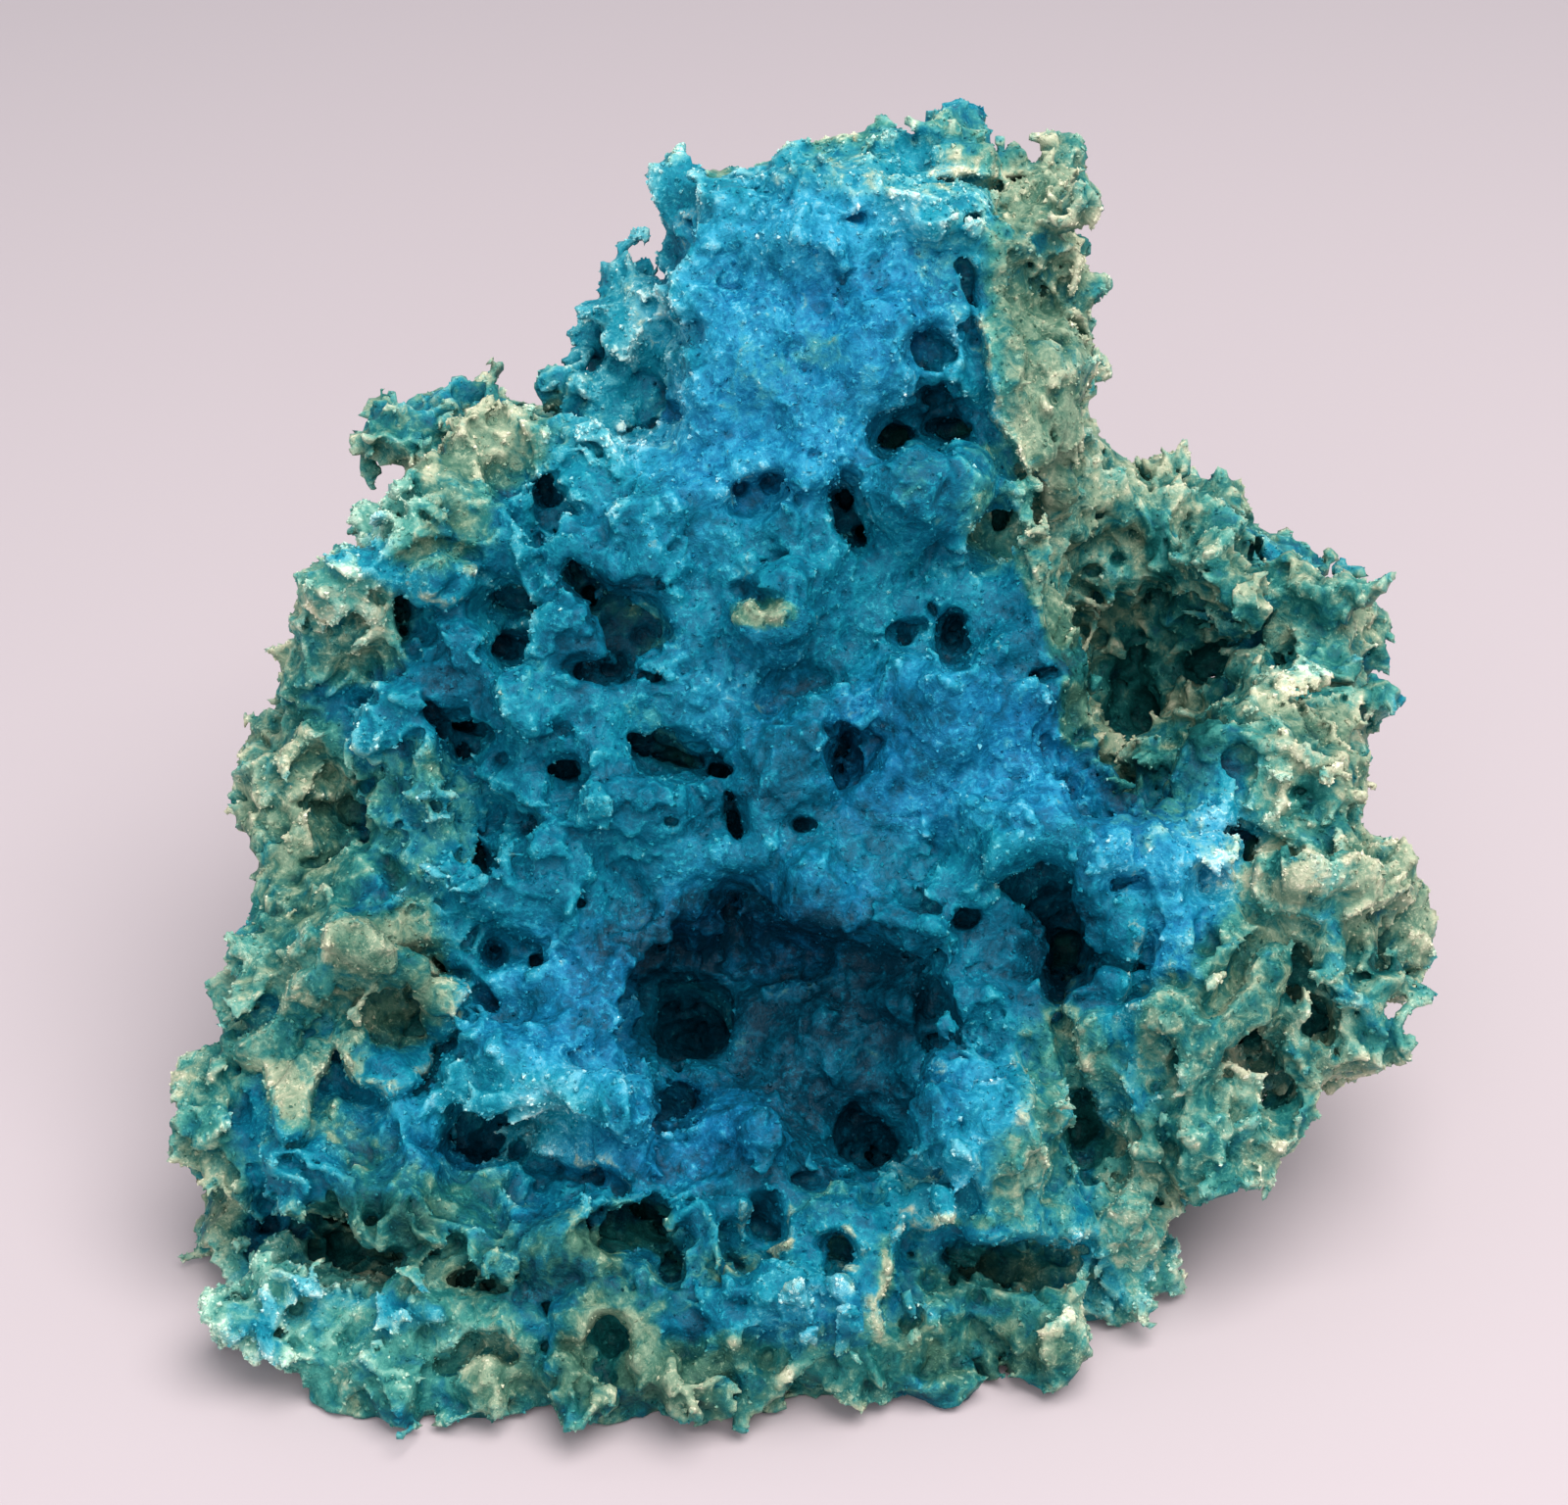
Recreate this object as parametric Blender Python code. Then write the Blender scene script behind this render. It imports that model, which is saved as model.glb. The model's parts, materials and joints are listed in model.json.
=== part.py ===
"""A chalcanthite specimen: one spongy, lobed mass of copper sulphate, modelled as a single solid.

Run it with: blender --background --python part.py

Units are metres and +Z is up. The origin lies on the resting plane under the middle of the specimen,
and the show face looks towards -Y. That face leans back, so lumps and hollows are placed on it by three
numbers in millimetres: across it to the right, up along it, and out of it.

The order of work is the order in which such a stone comes about. Lumps are fused into one skin, knobs
and swells roughen it, hollows and small pits are cut out of it, and the foot is broken off flat.
"""

import math
import random

import bmesh
import bpy
from mathutils import Euler, Matrix, Vector

MM = 0.001

# Driving dimensions.
FACE_LEAN = math.radians(30)  # how far the show face leans back from the vertical
FACE_CENTRE = Vector((0, -3.5, 31)) * MM  # the point that across, up and out are counted from
SKIN_VOXEL = 0.8 * MM
HOLLOW_VOXEL = 0.55 * MM
SWELL_SIZE, SWELL_HEIGHT = 4.5 * MM, 3.4 * MM
CELL_SIZE, CELL_DEPTH = 4.5 * MM, 3.4 * MM
RAGGED_SIZE, RAGGED_DEPTH = 2.6 * MM, 2.6 * MM
SKIN_TRIANGLES = 24000  # before the hollows are cut
HOLLOW_TRIANGLES = 12000
TRIANGLES = 9800
FRONT_DEPTH = 25 * MM  # thinning spares the skin nearer than this to the show face
THIN_BIAS = 5e-5  # how far thinning heeds that depth; a larger value spoils the shape
FOOT_FLATNESS = 0.35 * MM  # skin that ends up this near to the resting plane is put on it
STONE_COLOUR = (0.03, 0.30, 0.46, 1)
STONE_ROUGHNESS = 0.55

# Every lump and hollow is (across, up, out), (half width, half height, half depth), then, if it has
# them, (tilt, roll, yaw) in degrees and its squareness: 2 is an ellipsoid, and higher is boxier.
TOWER = [
    ((3.0, 24.6, -9.0), (10.6, 14.2, 9.5), (0, 0, 0), 4.5),  # shaft with the flat face
    ((-5.0, 34.8, -8.0), (4.2, 3.4, 6.0)),
    ((-8.2, 34.6, -7.0), (2.0, 1.2, 3.0), (0, -15, 0)),  # left tip
    ((12.0, 39.9, -10.0), (3.2, 4.2, 4.0)),  # top knob
    ((17.6, 37.2, -12.0), (2.2, 2.6, 3.0)),  # crust knob beside it
    ((15.5, 27.5, -13.5), (5.2, 12.0, 8.5), (0, 0, 0), 3.0),  # right flank
    ((17.2, 22.5, -12.0), (3.6, 3.6, 5.0)),
    ((-10.2, 28.4, -14.0), (2.6, 4.0, 5.0)),  # wing behind the left edge
    ((-11.0, 24.0, -17.0), (5.0, 4.5, 6.0)),
    ((4.0, 20.0, -22.0), (13.0, 15.0, 10.0)),  # back
]
SHOULDERS = [
    ((-12.0, 9.0, -12.0), (14.5, 12.0, 13.0), (0, 0, 0), 2.5),
    ((-14.5, 17.5, -11.0), (9.0, 5.6, 9.0), (0, -20, 0)),
    ((-22.5, 21.5, -22.0), (6.0, 4.6, 7.0), (0, 15, 0)),  # lump behind the left shoulder
    ((-19.0, 11.0, -24.0), (9.5, 10.0, 10.0)),
    ((-26.5, 16.2, -12.0), (3.2, 2.4, 4.5)),
    ((-22.5, 13.0, -5.0), (3.4, 4.6, 5.0), (0, 20, 0)),
    ((-27.5, 9.2, -6.5), (4.6, 3.6, 6.0)),
    ((-29.5, 3.5, -12.0), (5.0, 4.8, 7.0)),
    ((-31.5, -4.0, -11.0), (4.8, 5.6, 8.0)),
    ((-22.5, 3.0, -6.0), (5.5, 3.2, 6.0), (0, 25, 0)),
    ((20.0, 16.8, -20.0), (6.5, 4.3, 7.0), (0, 10, 0)),  # arch round the side cavern
    ((26.0, 14.6, -21.0), (6.0, 4.4, 7.0)),
    ((32.0, 10.6, -21.0), (5.5, 4.2, 7.0)),
    ((36.8, 7.2, -20.0), (4.6, 6.2, 7.5)),
    ((29.0, 8.0, -25.0), (9.0, 9.0, 7.0)),
]
BODY = [
    ((0.0, -6.0, -17.0), (30.0, 22.0, 17.0), (0, 0, 0), 2.8),
    ((-2.0, -22.0, -13.0), (31.0, 15.5, 17.0), (0, 0, 0), 2.5),
    ((2.0, -12.0, -32.0), (31.0, 24.0, 19.0), (0, 0, 0), 2.6),
    ((-18.0, -9.0, -6.0), (11.0, 9.0, 8.0)),
    ((-9.0, -3.0, -1.0), (4.2, 2.2, 3.0)),  # pale lump over the crack
    ((11.0, 3.5, -6.0), (8.0, 6.0, 7.5)),
    ((0.0, 11.0, -5.0), (6.0, 4.0, 6.0)),
]
RIGHT_SIDE = [
    ((30.5, -1.0, -9.0), (8.5, 5.5, 9.0)),
    ((36.0, -0.5, -11.0), (4.6, 3.4, 5.0), (0, 15, 0)),
    ((33.5, -9.0, -6.0), (8.6, 6.0, 9.0)),
    ((32.5, -15.5, -4.0), (8.0, 5.5, 9.0)),
    ((24.5, -22.5, -2.0), (9.0, 6.6, 8.0), (0, 20, 0)),
    ((19.0, -6.0, -3.5), (9.5, 4.0, 6.5), (0, -8, 0)),  # smooth ridge under the cavern
    ((25.5, -12.5, 0.0), (4.2, 3.6, 5.0)),
    ((5.0, -10.0, -2.0), (6.5, 3.2, 4.5)),  # brow over the grotto
]
APRON = [
    ((13.2, -24.0, 5.0), (4.2, 5.2, 6.5), (0, 0, 0), 2.6),  # nose
    ((13.0, -33.5, -1.0), (11.5, 4.4, 8.0), (0, 8, 0)),
    ((-1.0, -32.0, 3.0), (8.5, 5.8, 8.0), (0, 0, 0), 2.6),
    ((0.0, -38.0, 4.0), (10.5, 3.6, 6.5), (0, 0, 0), 2.6),
    ((8.6, -37.6, 4.5), (2.4, 2.6, 3.5)),
    ((14.0, -36.6, 1.5), (3.5, 2.2, 4.5), (0, 12, 0)),
    ((-11.6, -37.2, 7.5), (2.7, 3.4, 4.5)),  # cupped knob
    ((-4.6, -39.0, 7.5), (4.6, 2.4, 4.0)),
    ((-18.0, -38.0, 6.0), (3.6, 2.8, 5.0)),
    ((-24.5, -38.0, 6.0), (4.0, 3.0, 4.5), (0, 25, 0)),  # left foot
    ((-31.5, -33.8, 3.0), (2.8, 3.4, 5.0)),
    ((-26.0, -33.0, 4.0), (7.0, 2.6, 6.0)),
    ((-14.0, -31.0, 2.0), (6.5, 5.5, 8.0)),
    ((-26.5, -26.5, -1.0), (9.5, 8.0, 9.0), (0, 0, 0), 2.6),
    ((-33.0, -24.0, -3.0), (5.0, 6.0, 7.0)),
    ((-31.5, -13.5, -5.0), (5.2, 5.5, 8.0)),
]
LEDGES = [
    ((-25.6, -14.2, 3.5), (6.4, 5.0, 1.7), (35, -32, 15), 3.0),  # hood
    ((-12.4, -21.4, 5.5), (5.4, 2.6, 1.8), (35, -18, 0), 3.0),  # pointed flap
    ((-17.4, -18.4, 3.5), (3.8, 1.3, 2.0), (0, 5, 0)),
    ((-4.6, -26.9, 3.5), (6.6, 1.6, 4.0), (10, 0, 0), 3.0),  # sill under the grotto
    ((-1.9, -24.3, 4.5), (1.7, 3.2, 1.8)),  # tooth on the sill
    ((33.0, -8.2, 4.0), (3.6, 2.4, 1.6), (35, -8, 0), 3.0),
    ((25.2, -17.6, 5.2), (3.4, 2.8, 1.5), (25, 15, 0), 3.0),
    ((-22.4, 11.6, 1.2), (2.3, 2.0, 1.3), (35, 0, 0)),
    ((14.6, 26.0, -3.0), (3.0, 1.3, 2.6), (-20, -10, 20), 3.0),
    ((15.6, 21.5, -3.5), (2.6, 3.0, 1.6), (0, 0, 30), 3.0),
    ((16.2, 34.0, -5.0), (2.2, 3.0, 2.6), (0, 0, 20), 3.0),
    ((-14.5, 2.0, 0.2), (4.0, 1.6, 2.0), (20, -5, 0), 3.0),
    ((10.5, 15.0, -1.4), (3.0, 1.5, 2.0), (15, 10, 0)),
    ((-1.3, 8.6, 1.0), (2.4, 1.2, 2.0), (25, 0, 0)),
    ((-20.5, 7.0, -1.0), (2.0, 4.6, 2.0), (0, 35, 0)),
    ((-9.0, -3.2, 1.4), (4.6, 2.2, 1.6), (25, -8, 0)),
    ((5.2, -9.6, 1.4), (6.0, 2.2, 2.0), (15, -12, 0)),
    ((0.5, 1.0, 0.6), (3.6, 1.5, 2.0), (20, 5, 0)),
    ((-27.0, 9.6, -1.2), (3.4, 2.4, 1.6), (30, 0, 0)),
    ((-17.5, -34.0, 6.5), (3.0, 1.3, 2.5), (20, 0, 0)),
    ((-26.0, -36.2, 7.5), (5.5, 1.8, 2.0), (25, 8, 0)),
    ((-3.5, -34.5, 8.0), (5.0, 2.2, 1.6), (25, 0, 0)),
    ((13.0, -36.4, 4.5), (6.5, 1.4, 2.6), (15, 8, 0)),
]

# Walls stand out of the face. Each is the line of its crest, then its half thickness and its height.
WALLS = [
    (
        [(17.8, -15.0, 3.0), (18.8, -19.0, 5.5), (20.8, -22.5, 7.5), (21.4, -26.5, 7.5),
         (19.5, -28.8, 7.5), (14.0, -29.2, 9.5), (8.0, -28.6, 9.0), (6.4, -30.0, 9.0), (6.2, -34.5, 7.5)],
        1.0, 6.0,
    ),
    ([(-32.4, -19.0, 2.5), (-31.6, -22.8, 3.5), (-30.6, -22.6, 3.5), (-29.6, -18.6, 3.0)], 0.9, 4.0),
    ([(19.5, -16.8, 3.5), (21.5, -15.8, 4.5), (24.0, -15.2, 6.0)], 0.9, 4.0),
    ([(12.9, 33.0, -0.5), (12.9, 27.0, -0.8), (13.0, 20.5, -0.8), (15.8, 17.5, -1.5), (17.0, 11.0, -2.0),
      (18.0, 4.0, -2.5)], 0.9, 4.0),
    ([(26.0, 15.8, -12.0), (30.5, 11.5, -11.0), (31.5, 7.0, -10.0), (28.5, 2.0, -5.0), (25.0, -3.0, -2.0)],
     0.9, 4.0),
]

GROTTO = [
    ((-2.0, -16.6, 0.0), (8.6, 5.6, 8.0), (0, 10, 0), 2.2),
    ((3.5, -19.5, 0.5), (6.0, 6.0, 7.0), (0, 0, 0), 2.2),
    ((-2.6, -11.2, -0.5), (2.2, 4.0, 6.0), (0, 10, 0)),
    ((4.5, -13.6, -1.0), (4.8, 1.8, 6.0), (0, -12, 0)),
    ((-6.5, -17.4, -9.0), (3.3, 2.8, 8.0)),
    ((5.4, -25.0, -1.0), (2.4, 1.9, 8.0)),
    ((-7.2, -22.8, -1.0), (2.2, 1.5, 8.0)),
    ((8.6, -24.0, 1.0), (1.5, 2.8, 6.0)),
]
CAVERN = [
    ((24.2, 6.4, -13.0), (5.0, 6.6, 12.0), (0, 8, 0)),
    ((28.4, 6.4, -14.0), (2.8, 3.0, 9.0)),
    ((22.4, 0.0, -10.0), (2.6, 4.4, 9.0), (0, 8, 0)),
    ((21.0, 11.0, -13.0), (2.0, 2.6, 7.0)),
]
HOLLOWS = [
    ((18.2, -12.2, -2.0), (2.1, 3.4, 7.0), (0, 5, 0)),
    ((15.8, -8.2, 1.5), (2.8, 1.8, 5.0)),
    ((9.6, -9.8, 2.0), (2.6, 1.1, 3.5), (0, -10, 0)),
    ((9.2, 21.8, -2.0), (2.6, 1.0, 6.0), (0, 12, 0)),
    ((6.9, 20.0, -2.0), (1.1, 1.3, 7.0)),
    ((10.9, 20.4, -2.0), (1.6, 1.0, 4.0)),
    ((9.2, 25.6, 0.0), (1.2, 1.4, 3.0)),
    ((3.8, 16.2, -2.0), (1.0, 1.3, 7.0)),
    ((5.0, 13.9, -2.0), (1.5, 1.1, 7.0)),
    ((-1.8, 16.4, 0.0), (2.0, 0.9, 3.5), (0, 25, 0)),
    ((-1.2, 12.8, 1.0), (1.1, 0.9, 4.0)),
    ((-7.0, 21.4, 0.0), (1.9, 0.9, 4.0), (0, -35, 0)),
    ((10.0, 12.4, 0.0), (2.2, 1.4, 4.0)),
    ((13.4, 14.6, -1.0), (0.9, 1.8, 6.0), (0, 20, 0)),
    ((8.0, 7.3, 0.0), (1.5, 0.9, 5.0)),
    ((11.0, 7.2, 0.0), (0.9, 2.2, 5.0)),
    ((15.6, 5.2, -1.0), (2.2, 0.8, 5.0), (0, 10, 0)),
    ((1.2, 4.6, 1.5), (2.9, 1.5, 4.5), (0, 15, 0)),
    ((4.0, -0.4, 0.0), (1.3, 2.4, 7.0), (0, -15, 0)),
    ((-6.8, -0.4, 0.0), (3.8, 0.9, 7.0), (0, -14, 0)),
    ((-3.4, -3.6, 0.0), (1.1, 3.2, 7.0), (0, 3, 0)),
    ((-18.8, -4.6, 0.5), (2.8, 2.4, 3.5), (0, 20, 0)),
    ((-19.2, -7.0, 1.0), (1.1, 1.8, 4.0)),
    ((-17.6, 9.0, -2.0), (2.2, 1.3, 5.0), (0, -15, 0)),
    ((-17.2, 6.4, -2.0), (2.0, 1.2, 5.0)),
    ((-15.3, 15.2, -2.0), (1.0, 2.6, 5.0), (0, -8, 0)),
    ((-12.8, 10.6, -1.0), (1.0, 2.2, 6.0), (0, 30, 0)),
    ((-10.0, 8.4, -1.0), (2.6, 2.2, 4.5), (0, 20, 0)),
    ((-11.6, 5.0, -1.0), (2.6, 1.0, 8.0)),
    ((-21.0, 1.4, -1.0), (2.8, 0.9, 6.0), (0, -20, 0)),
    ((-20.2, -0.6, -1.0), (0.9, 1.1, 4.0)),
    ((-14.4, -0.8, 0.0), (1.8, 1.0, 5.0)),
    ((-24.2, 8.6, -2.0), (1.0, 2.2, 6.0), (0, 15, 0)),
    ((-29.2, -2.6, -5.0), (1.3, 3.6, 5.0), (0, 15, 0)),
    ((-17.9, -12.4, 1.0), (1.1, 1.3, 4.0)),
    ((-15.4, -13.4, 1.0), (0.9, 1.3, 4.0), (0, 20, 0)),
    ((-23.2, -17.6, 4.0), (3.0, 1.9, 6.0), (0, -20, 0)),
    ((-19.0, -23.8, 4.0), (2.6, 1.5, 7.0), (0, 10, 0)),
    ((-9.2, -29.3, 5.0), (4.0, 1.3, 10.0), (0, -4, 0)),
    ((-6.8, -31.6, 6.0), (1.5, 2.0, 8.0), (0, 10, 0)),
    ((-2.2, -30.2, 8.0), (1.4, 1.6, 3.5)),
    ((3.6, -31.6, 7.5), (2.0, 1.2, 3.5)),
    ((-26.4, -30.2, 6.0), (5.4, 1.7, 8.0), (0, -6, 0)),
    ((-31.8, -29.4, 4.0), (1.6, 1.6, 6.0)),
    ((-25.4, -32.6, 7.0), (3.2, 1.2, 5.0)),
    ((-18.4, -32.4, 6.0), (2.6, 1.1, 6.0), (0, 12, 0)),
    ((-14.2, -35.4, 6.0), (1.4, 1.5, 6.0)),
    ((-11.4, -37.0, 12.0), (1.3, 2.0, 4.0)),
    ((13.2, -31.8, 8.0), (6.2, 1.5, 8.0), (0, 4, 0)),
    ((19.3, -23.4, 6.0), (1.4, 3.8, 8.0), (0, -8, 0)),
    ((3.6, -28.4, 8.0), (2.0, 0.8, 4.0)),
    ((29.0, -5.8, 0.0), (1.2, 1.1, 6.0)),
    ((32.8, -5.8, 1.0), (2.4, 0.9, 6.0), (0, -10, 0)),
    ((37.6, -13.2, -3.0), (1.2, 0.9, 4.0)),
    ((28.6, -17.8, 3.0), (2.0, 1.1, 6.0), (0, -15, 0)),
    ((33.4, -16.6, 2.0), (1.2, 1.6, 5.0)),
    ((32.0, -13.6, 3.0), (1.0, 1.3, 4.0)),
    ((30.6, -21.0, 3.0), (1.4, 2.2, 6.0), (0, -10, 0)),
    ((25.0, -10.6, 3.5), (1.6, 0.8, 3.0)),
    ((16.9, 29.0, -4.0), (2.0, 2.2, 4.0)),
    ((17.0, 23.6, -3.0), (1.5, 1.0, 4.0)),
    ((23.4, 14.0, -13.0), (1.8, 1.1, 5.0)),
    ((33.6, 9.6, -13.0), (1.6, 0.9, 4.0), (0, 30, 0)),
    # Back of the stone.
    ((-14.0, 4.0, -33.0), (5.5, 4.0, 8.0), (0, 30, 0)),
    ((10.0, 12.0, -36.0), (4.0, 6.0, 7.0), (0, -15, 0)),
    ((16.0, -6.0, -50.0), (6.0, 4.5, 8.0), (0, 10, 0)),
    ((-6.0, -8.0, -52.0), (4.5, 6.0, 7.0), (0, 20, 0)),
    ((2.0, 27.0, -31.0), (3.4, 2.4, 6.0)),
    ((-26.0, -4.0, -40.0), (4.0, 5.0, 7.0), (0, -20, 0)),
    ((30.0, 0.0, -36.0), (4.5, 3.5, 7.0)),
]

# Small repeats are scattered over the skin, away from the smooth show face.
SCATTER_SEED = 11
SHOW_FACE_DEPTH = 13.0 * MM  # skin nearer than this to the show face keeps only the placed hollows
KNOBS, KNOB_RADIUS, KNOB_GAP = 130, (1.6 * MM, 3.6 * MM), 3.5 * MM
SMALL_PITS, PIT_RADIUS, PIT_GAP = 75, (1.2 * MM, 2.6 * MM), 4.0 * MM


def stone_material():
    """Waxy blue copper sulphate."""
    material = bpy.data.materials.new("chalcanthite")
    material.use_nodes = True
    shader = material.node_tree.nodes["Principled BSDF"]
    shader.inputs["Base Color"].default_value = STONE_COLOUR
    shader.inputs["Roughness"].default_value = STONE_ROUGHNESS
    shader.inputs["Metallic"].default_value = 0
    return material


def face_frame():
    """The frame of the show face: X across it, -Y out of it, Z up along it."""
    return Matrix.Translation(FACE_CENTRE) @ Matrix.Rotation(-FACE_LEAN, 4, "X")


def face_point(at):
    """Where (across, up, out) in millimetres lies in the frame of the show face, in metres."""
    across, up, out = at
    return Vector((across, -out, up)) * MM


def add_lump(bm, at, half, turns=(0, 0, 0), squareness=2.3):
    """Adds a closed, rounded solid: an ellipsoid whose sides fill out as squareness rises."""
    tilt, roll, yaw = (math.radians(angle) for angle in turns)
    width, height, depth = half
    place = (
        face_frame()
        @ Matrix.Translation(face_point(at))
        @ Euler((tilt, -roll, yaw)).to_matrix().to_4x4()
        @ Matrix.Diagonal(Vector((width, depth, height)) * MM).to_4x4()
    )
    for vertex in bmesh.ops.create_icosphere(bm, subdivisions=3, radius=1)["verts"]:
        reach = sum(abs(c) ** squareness for c in vertex.co) ** (1 / squareness)
        vertex.co = place @ (vertex.co / reach)


def add_wall(bm, crest, half_thickness, height):
    """Adds a closed ribbon that stands on edge under its crest."""
    frame = face_frame()
    points = [face_point(at) for at in crest]
    rings = []
    for i, point in enumerate(points):
        along = points[min(i + 1, len(points) - 1)] - points[max(i - 1, 0)]
        side = along.cross(Vector((0, 1, 0))).normalized() * half_thickness * MM
        foot = point + Vector((0, height, 0)) * MM
        corners = (point - side, point + side, foot + side, foot - side)
        rings.append([bm.verts.new(frame @ corner) for corner in corners])
    for ring, following in zip(rings, rings[1:]):
        for i in range(4):
            bm.faces.new((ring[i - 1], ring[i], following[i], following[i - 1]))
    bm.faces.new(rings[0])
    bm.faces.new(reversed(rings[-1]))


def object_of(name, bm):
    bmesh.ops.recalc_face_normals(bm, faces=bm.faces)
    mesh = bpy.data.meshes.new(name)
    bm.to_mesh(mesh)
    bm.free()
    made = bpy.data.objects.new(name, mesh)
    bpy.context.collection.objects.link(made)
    return made


def fuse(obj, voxel):
    """Makes one skin of overlapping shells."""
    modifier = obj.modifiers.new("fuse", "REMESH")
    modifier.mode = "VOXEL"
    modifier.voxel_size = voxel


def soften(obj, factor, repeats):
    modifier = obj.modifiers.new("soften", "SMOOTH")
    modifier.factor = factor
    modifier.iterations = repeats


def displace(obj, texture, height, mid_level):
    modifier = obj.modifiers.new(texture.name, "DISPLACE")
    modifier.texture = texture
    modifier.texture_coords = "GLOBAL"
    modifier.strength = height
    modifier.mid_level = mid_level


def roughen(obj, size, height):
    """Moves the skin in and out by a noise whose swells are about that size."""
    texture = bpy.data.textures.new("roughness", "CLOUDS")
    texture.noise_scale = size
    texture.noise_depth = 2
    displace(obj, texture, height, 0.5)


def honeycomb(obj, size, depth):
    """Dents the skin in cells of about that size, which leaves sharp ridges between them."""
    texture = bpy.data.textures.new("honeycomb", "VORONOI")
    texture.noise_scale = size
    displace(obj, texture, depth, 0.6)


def cut(obj, cutter):
    cutter.hide_render = True
    cutter.display_type = "WIRE"
    modifier = obj.modifiers.new("cut", "BOOLEAN")
    modifier.operation = "DIFFERENCE"
    modifier.solver = "EXACT"
    modifier.object = cutter


def settle(obj):
    """Turns what the object's modifiers make into its own mesh."""
    bpy.context.view_layer.update()
    graph = bpy.context.evaluated_depsgraph_get()
    mesh = bpy.data.meshes.new_from_object(obj.evaluated_get(graph))
    obj.modifiers.clear()
    obj.data = mesh


def depth_of(point):
    """How far the point lies behind the show face."""
    return (face_frame().inverted() @ point).y


def thin(obj, triangles):
    """Settles the object, then thins its mesh to about that many triangles, most at the back."""
    settle(obj)
    back = obj.vertex_groups.new(name="back")
    for vertex in obj.data.vertices:
        back.add([vertex.index], min(1, max(0.5, depth_of(vertex.co) / FRONT_DEPTH)), "REPLACE")
    now = sum(len(polygon.vertices) - 2 for polygon in obj.data.polygons)
    modifier = obj.modifiers.new("thin", "DECIMATE")
    modifier.ratio = min(1, triangles / now)
    modifier.vertex_group = back.name
    modifier.vertex_group_factor = THIN_BIAS
    settle(obj)
    obj.vertex_groups.clear()


def scattered(obj, count, gap, dice):
    """(place, outward direction) of points on the skin, no two nearer than gap."""
    chosen = []
    vertices = obj.data.vertices
    while len(chosen) < count:
        vertex = vertices[dice.randrange(len(vertices))]
        if depth_of(vertex.co) < SHOW_FACE_DEPTH or vertex.co.z < gap:
            continue
        if all((vertex.co - place).length > gap for place, _ in chosen):
            chosen.append((vertex.co.copy(), vertex.normal.copy()))
    return chosen


def add_ball(bm, place, direction, radius, stretch):
    """Adds a ball that is drawn out along the direction."""
    turn = direction.to_track_quat("Z", "Y").to_matrix().to_4x4()
    size = Matrix.Diagonal((radius, radius * 0.8, radius * stretch, 1))
    matrix = Matrix.Translation(place) @ turn @ size
    bmesh.ops.create_icosphere(bm, subdivisions=2, radius=1, matrix=matrix)


def make_mass(dice):
    """The lumps, ledges and walls, fused and roughened."""
    bm = bmesh.new()
    for lump in TOWER + SHOULDERS + BODY + RIGHT_SIDE + APRON + LEDGES:
        add_lump(bm, *lump)
    for wall in WALLS:
        add_wall(bm, *wall)
    mass = object_of("chalcanthite_mass", bm)
    fuse(mass, SKIN_VOXEL)
    soften(mass, 0.5, 3)
    settle(mass)

    bm = bmesh.new()
    for place, direction in scattered(mass, KNOBS, KNOB_GAP, dice):
        add_ball(bm, place, direction, dice.uniform(*KNOB_RADIUS), 1.0)
    bm.from_mesh(mass.data)
    bm.to_mesh(mass.data)
    bm.free()
    fuse(mass, SKIN_VOXEL)
    soften(mass, 0.5, 2)
    roughen(mass, SWELL_SIZE, SWELL_HEIGHT)
    honeycomb(mass, CELL_SIZE, CELL_DEPTH)
    fuse(mass, SKIN_VOXEL)
    settle(mass)
    return mass


def make_hollows(mass, dice):
    """Everything that is missing from the mass: the placed hollows and the scattered pits."""
    bm = bmesh.new()
    for hollow in GROTTO + CAVERN + HOLLOWS:
        add_lump(bm, *hollow)
    for place, direction in scattered(mass, SMALL_PITS, PIT_GAP, dice):
        add_ball(bm, place, direction, dice.uniform(*PIT_RADIUS), 1.6)
    hollows = object_of("hollows", bm)
    fuse(hollows, HOLLOW_VOXEL)
    roughen(hollows, RAGGED_SIZE, RAGGED_DEPTH)
    fuse(hollows, HOLLOW_VOXEL)
    thin(hollows, HOLLOW_TRIANGLES)
    return hollows


def make_ground():
    """The space under the resting plane."""
    bm = bmesh.new()
    bmesh.ops.create_cube(bm, size=0.2, matrix=Matrix.Translation((0, 0, -0.1)))
    return object_of("ground", bm)


def keep_largest_piece(obj):
    """Drops crumbs that a cut has freed, and any bubble that is closed off inside."""
    bm = bmesh.new()
    bm.from_mesh(obj.data)
    left, pieces = set(bm.verts), []
    while left:
        piece, edge_of_piece = set(), [left.pop()]
        while edge_of_piece:
            vertex = edge_of_piece.pop()
            piece.add(vertex)
            found = {edge.other_vert(vertex) for edge in vertex.link_edges} & left
            left -= found
            edge_of_piece.extend(found)
        pieces.append(piece)
    pieces.sort(key=len)
    for piece in pieces[:-1]:
        bmesh.ops.delete(bm, geom=list(piece), context="VERTS")
    bm.to_mesh(obj.data)
    bm.free()


def flatten_foot(obj):
    for vertex in obj.data.vertices:
        if vertex.co.z < FOOT_FLATNESS:
            vertex.co.z = 0


def centre(obj):
    """Brings the middle of the object's box over the origin."""
    for axis in (0, 1):
        reach = [vertex.co[axis] for vertex in obj.data.vertices]
        shift = (min(reach) + max(reach)) / 2
        for vertex in obj.data.vertices:
            vertex.co[axis] -= shift


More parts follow.
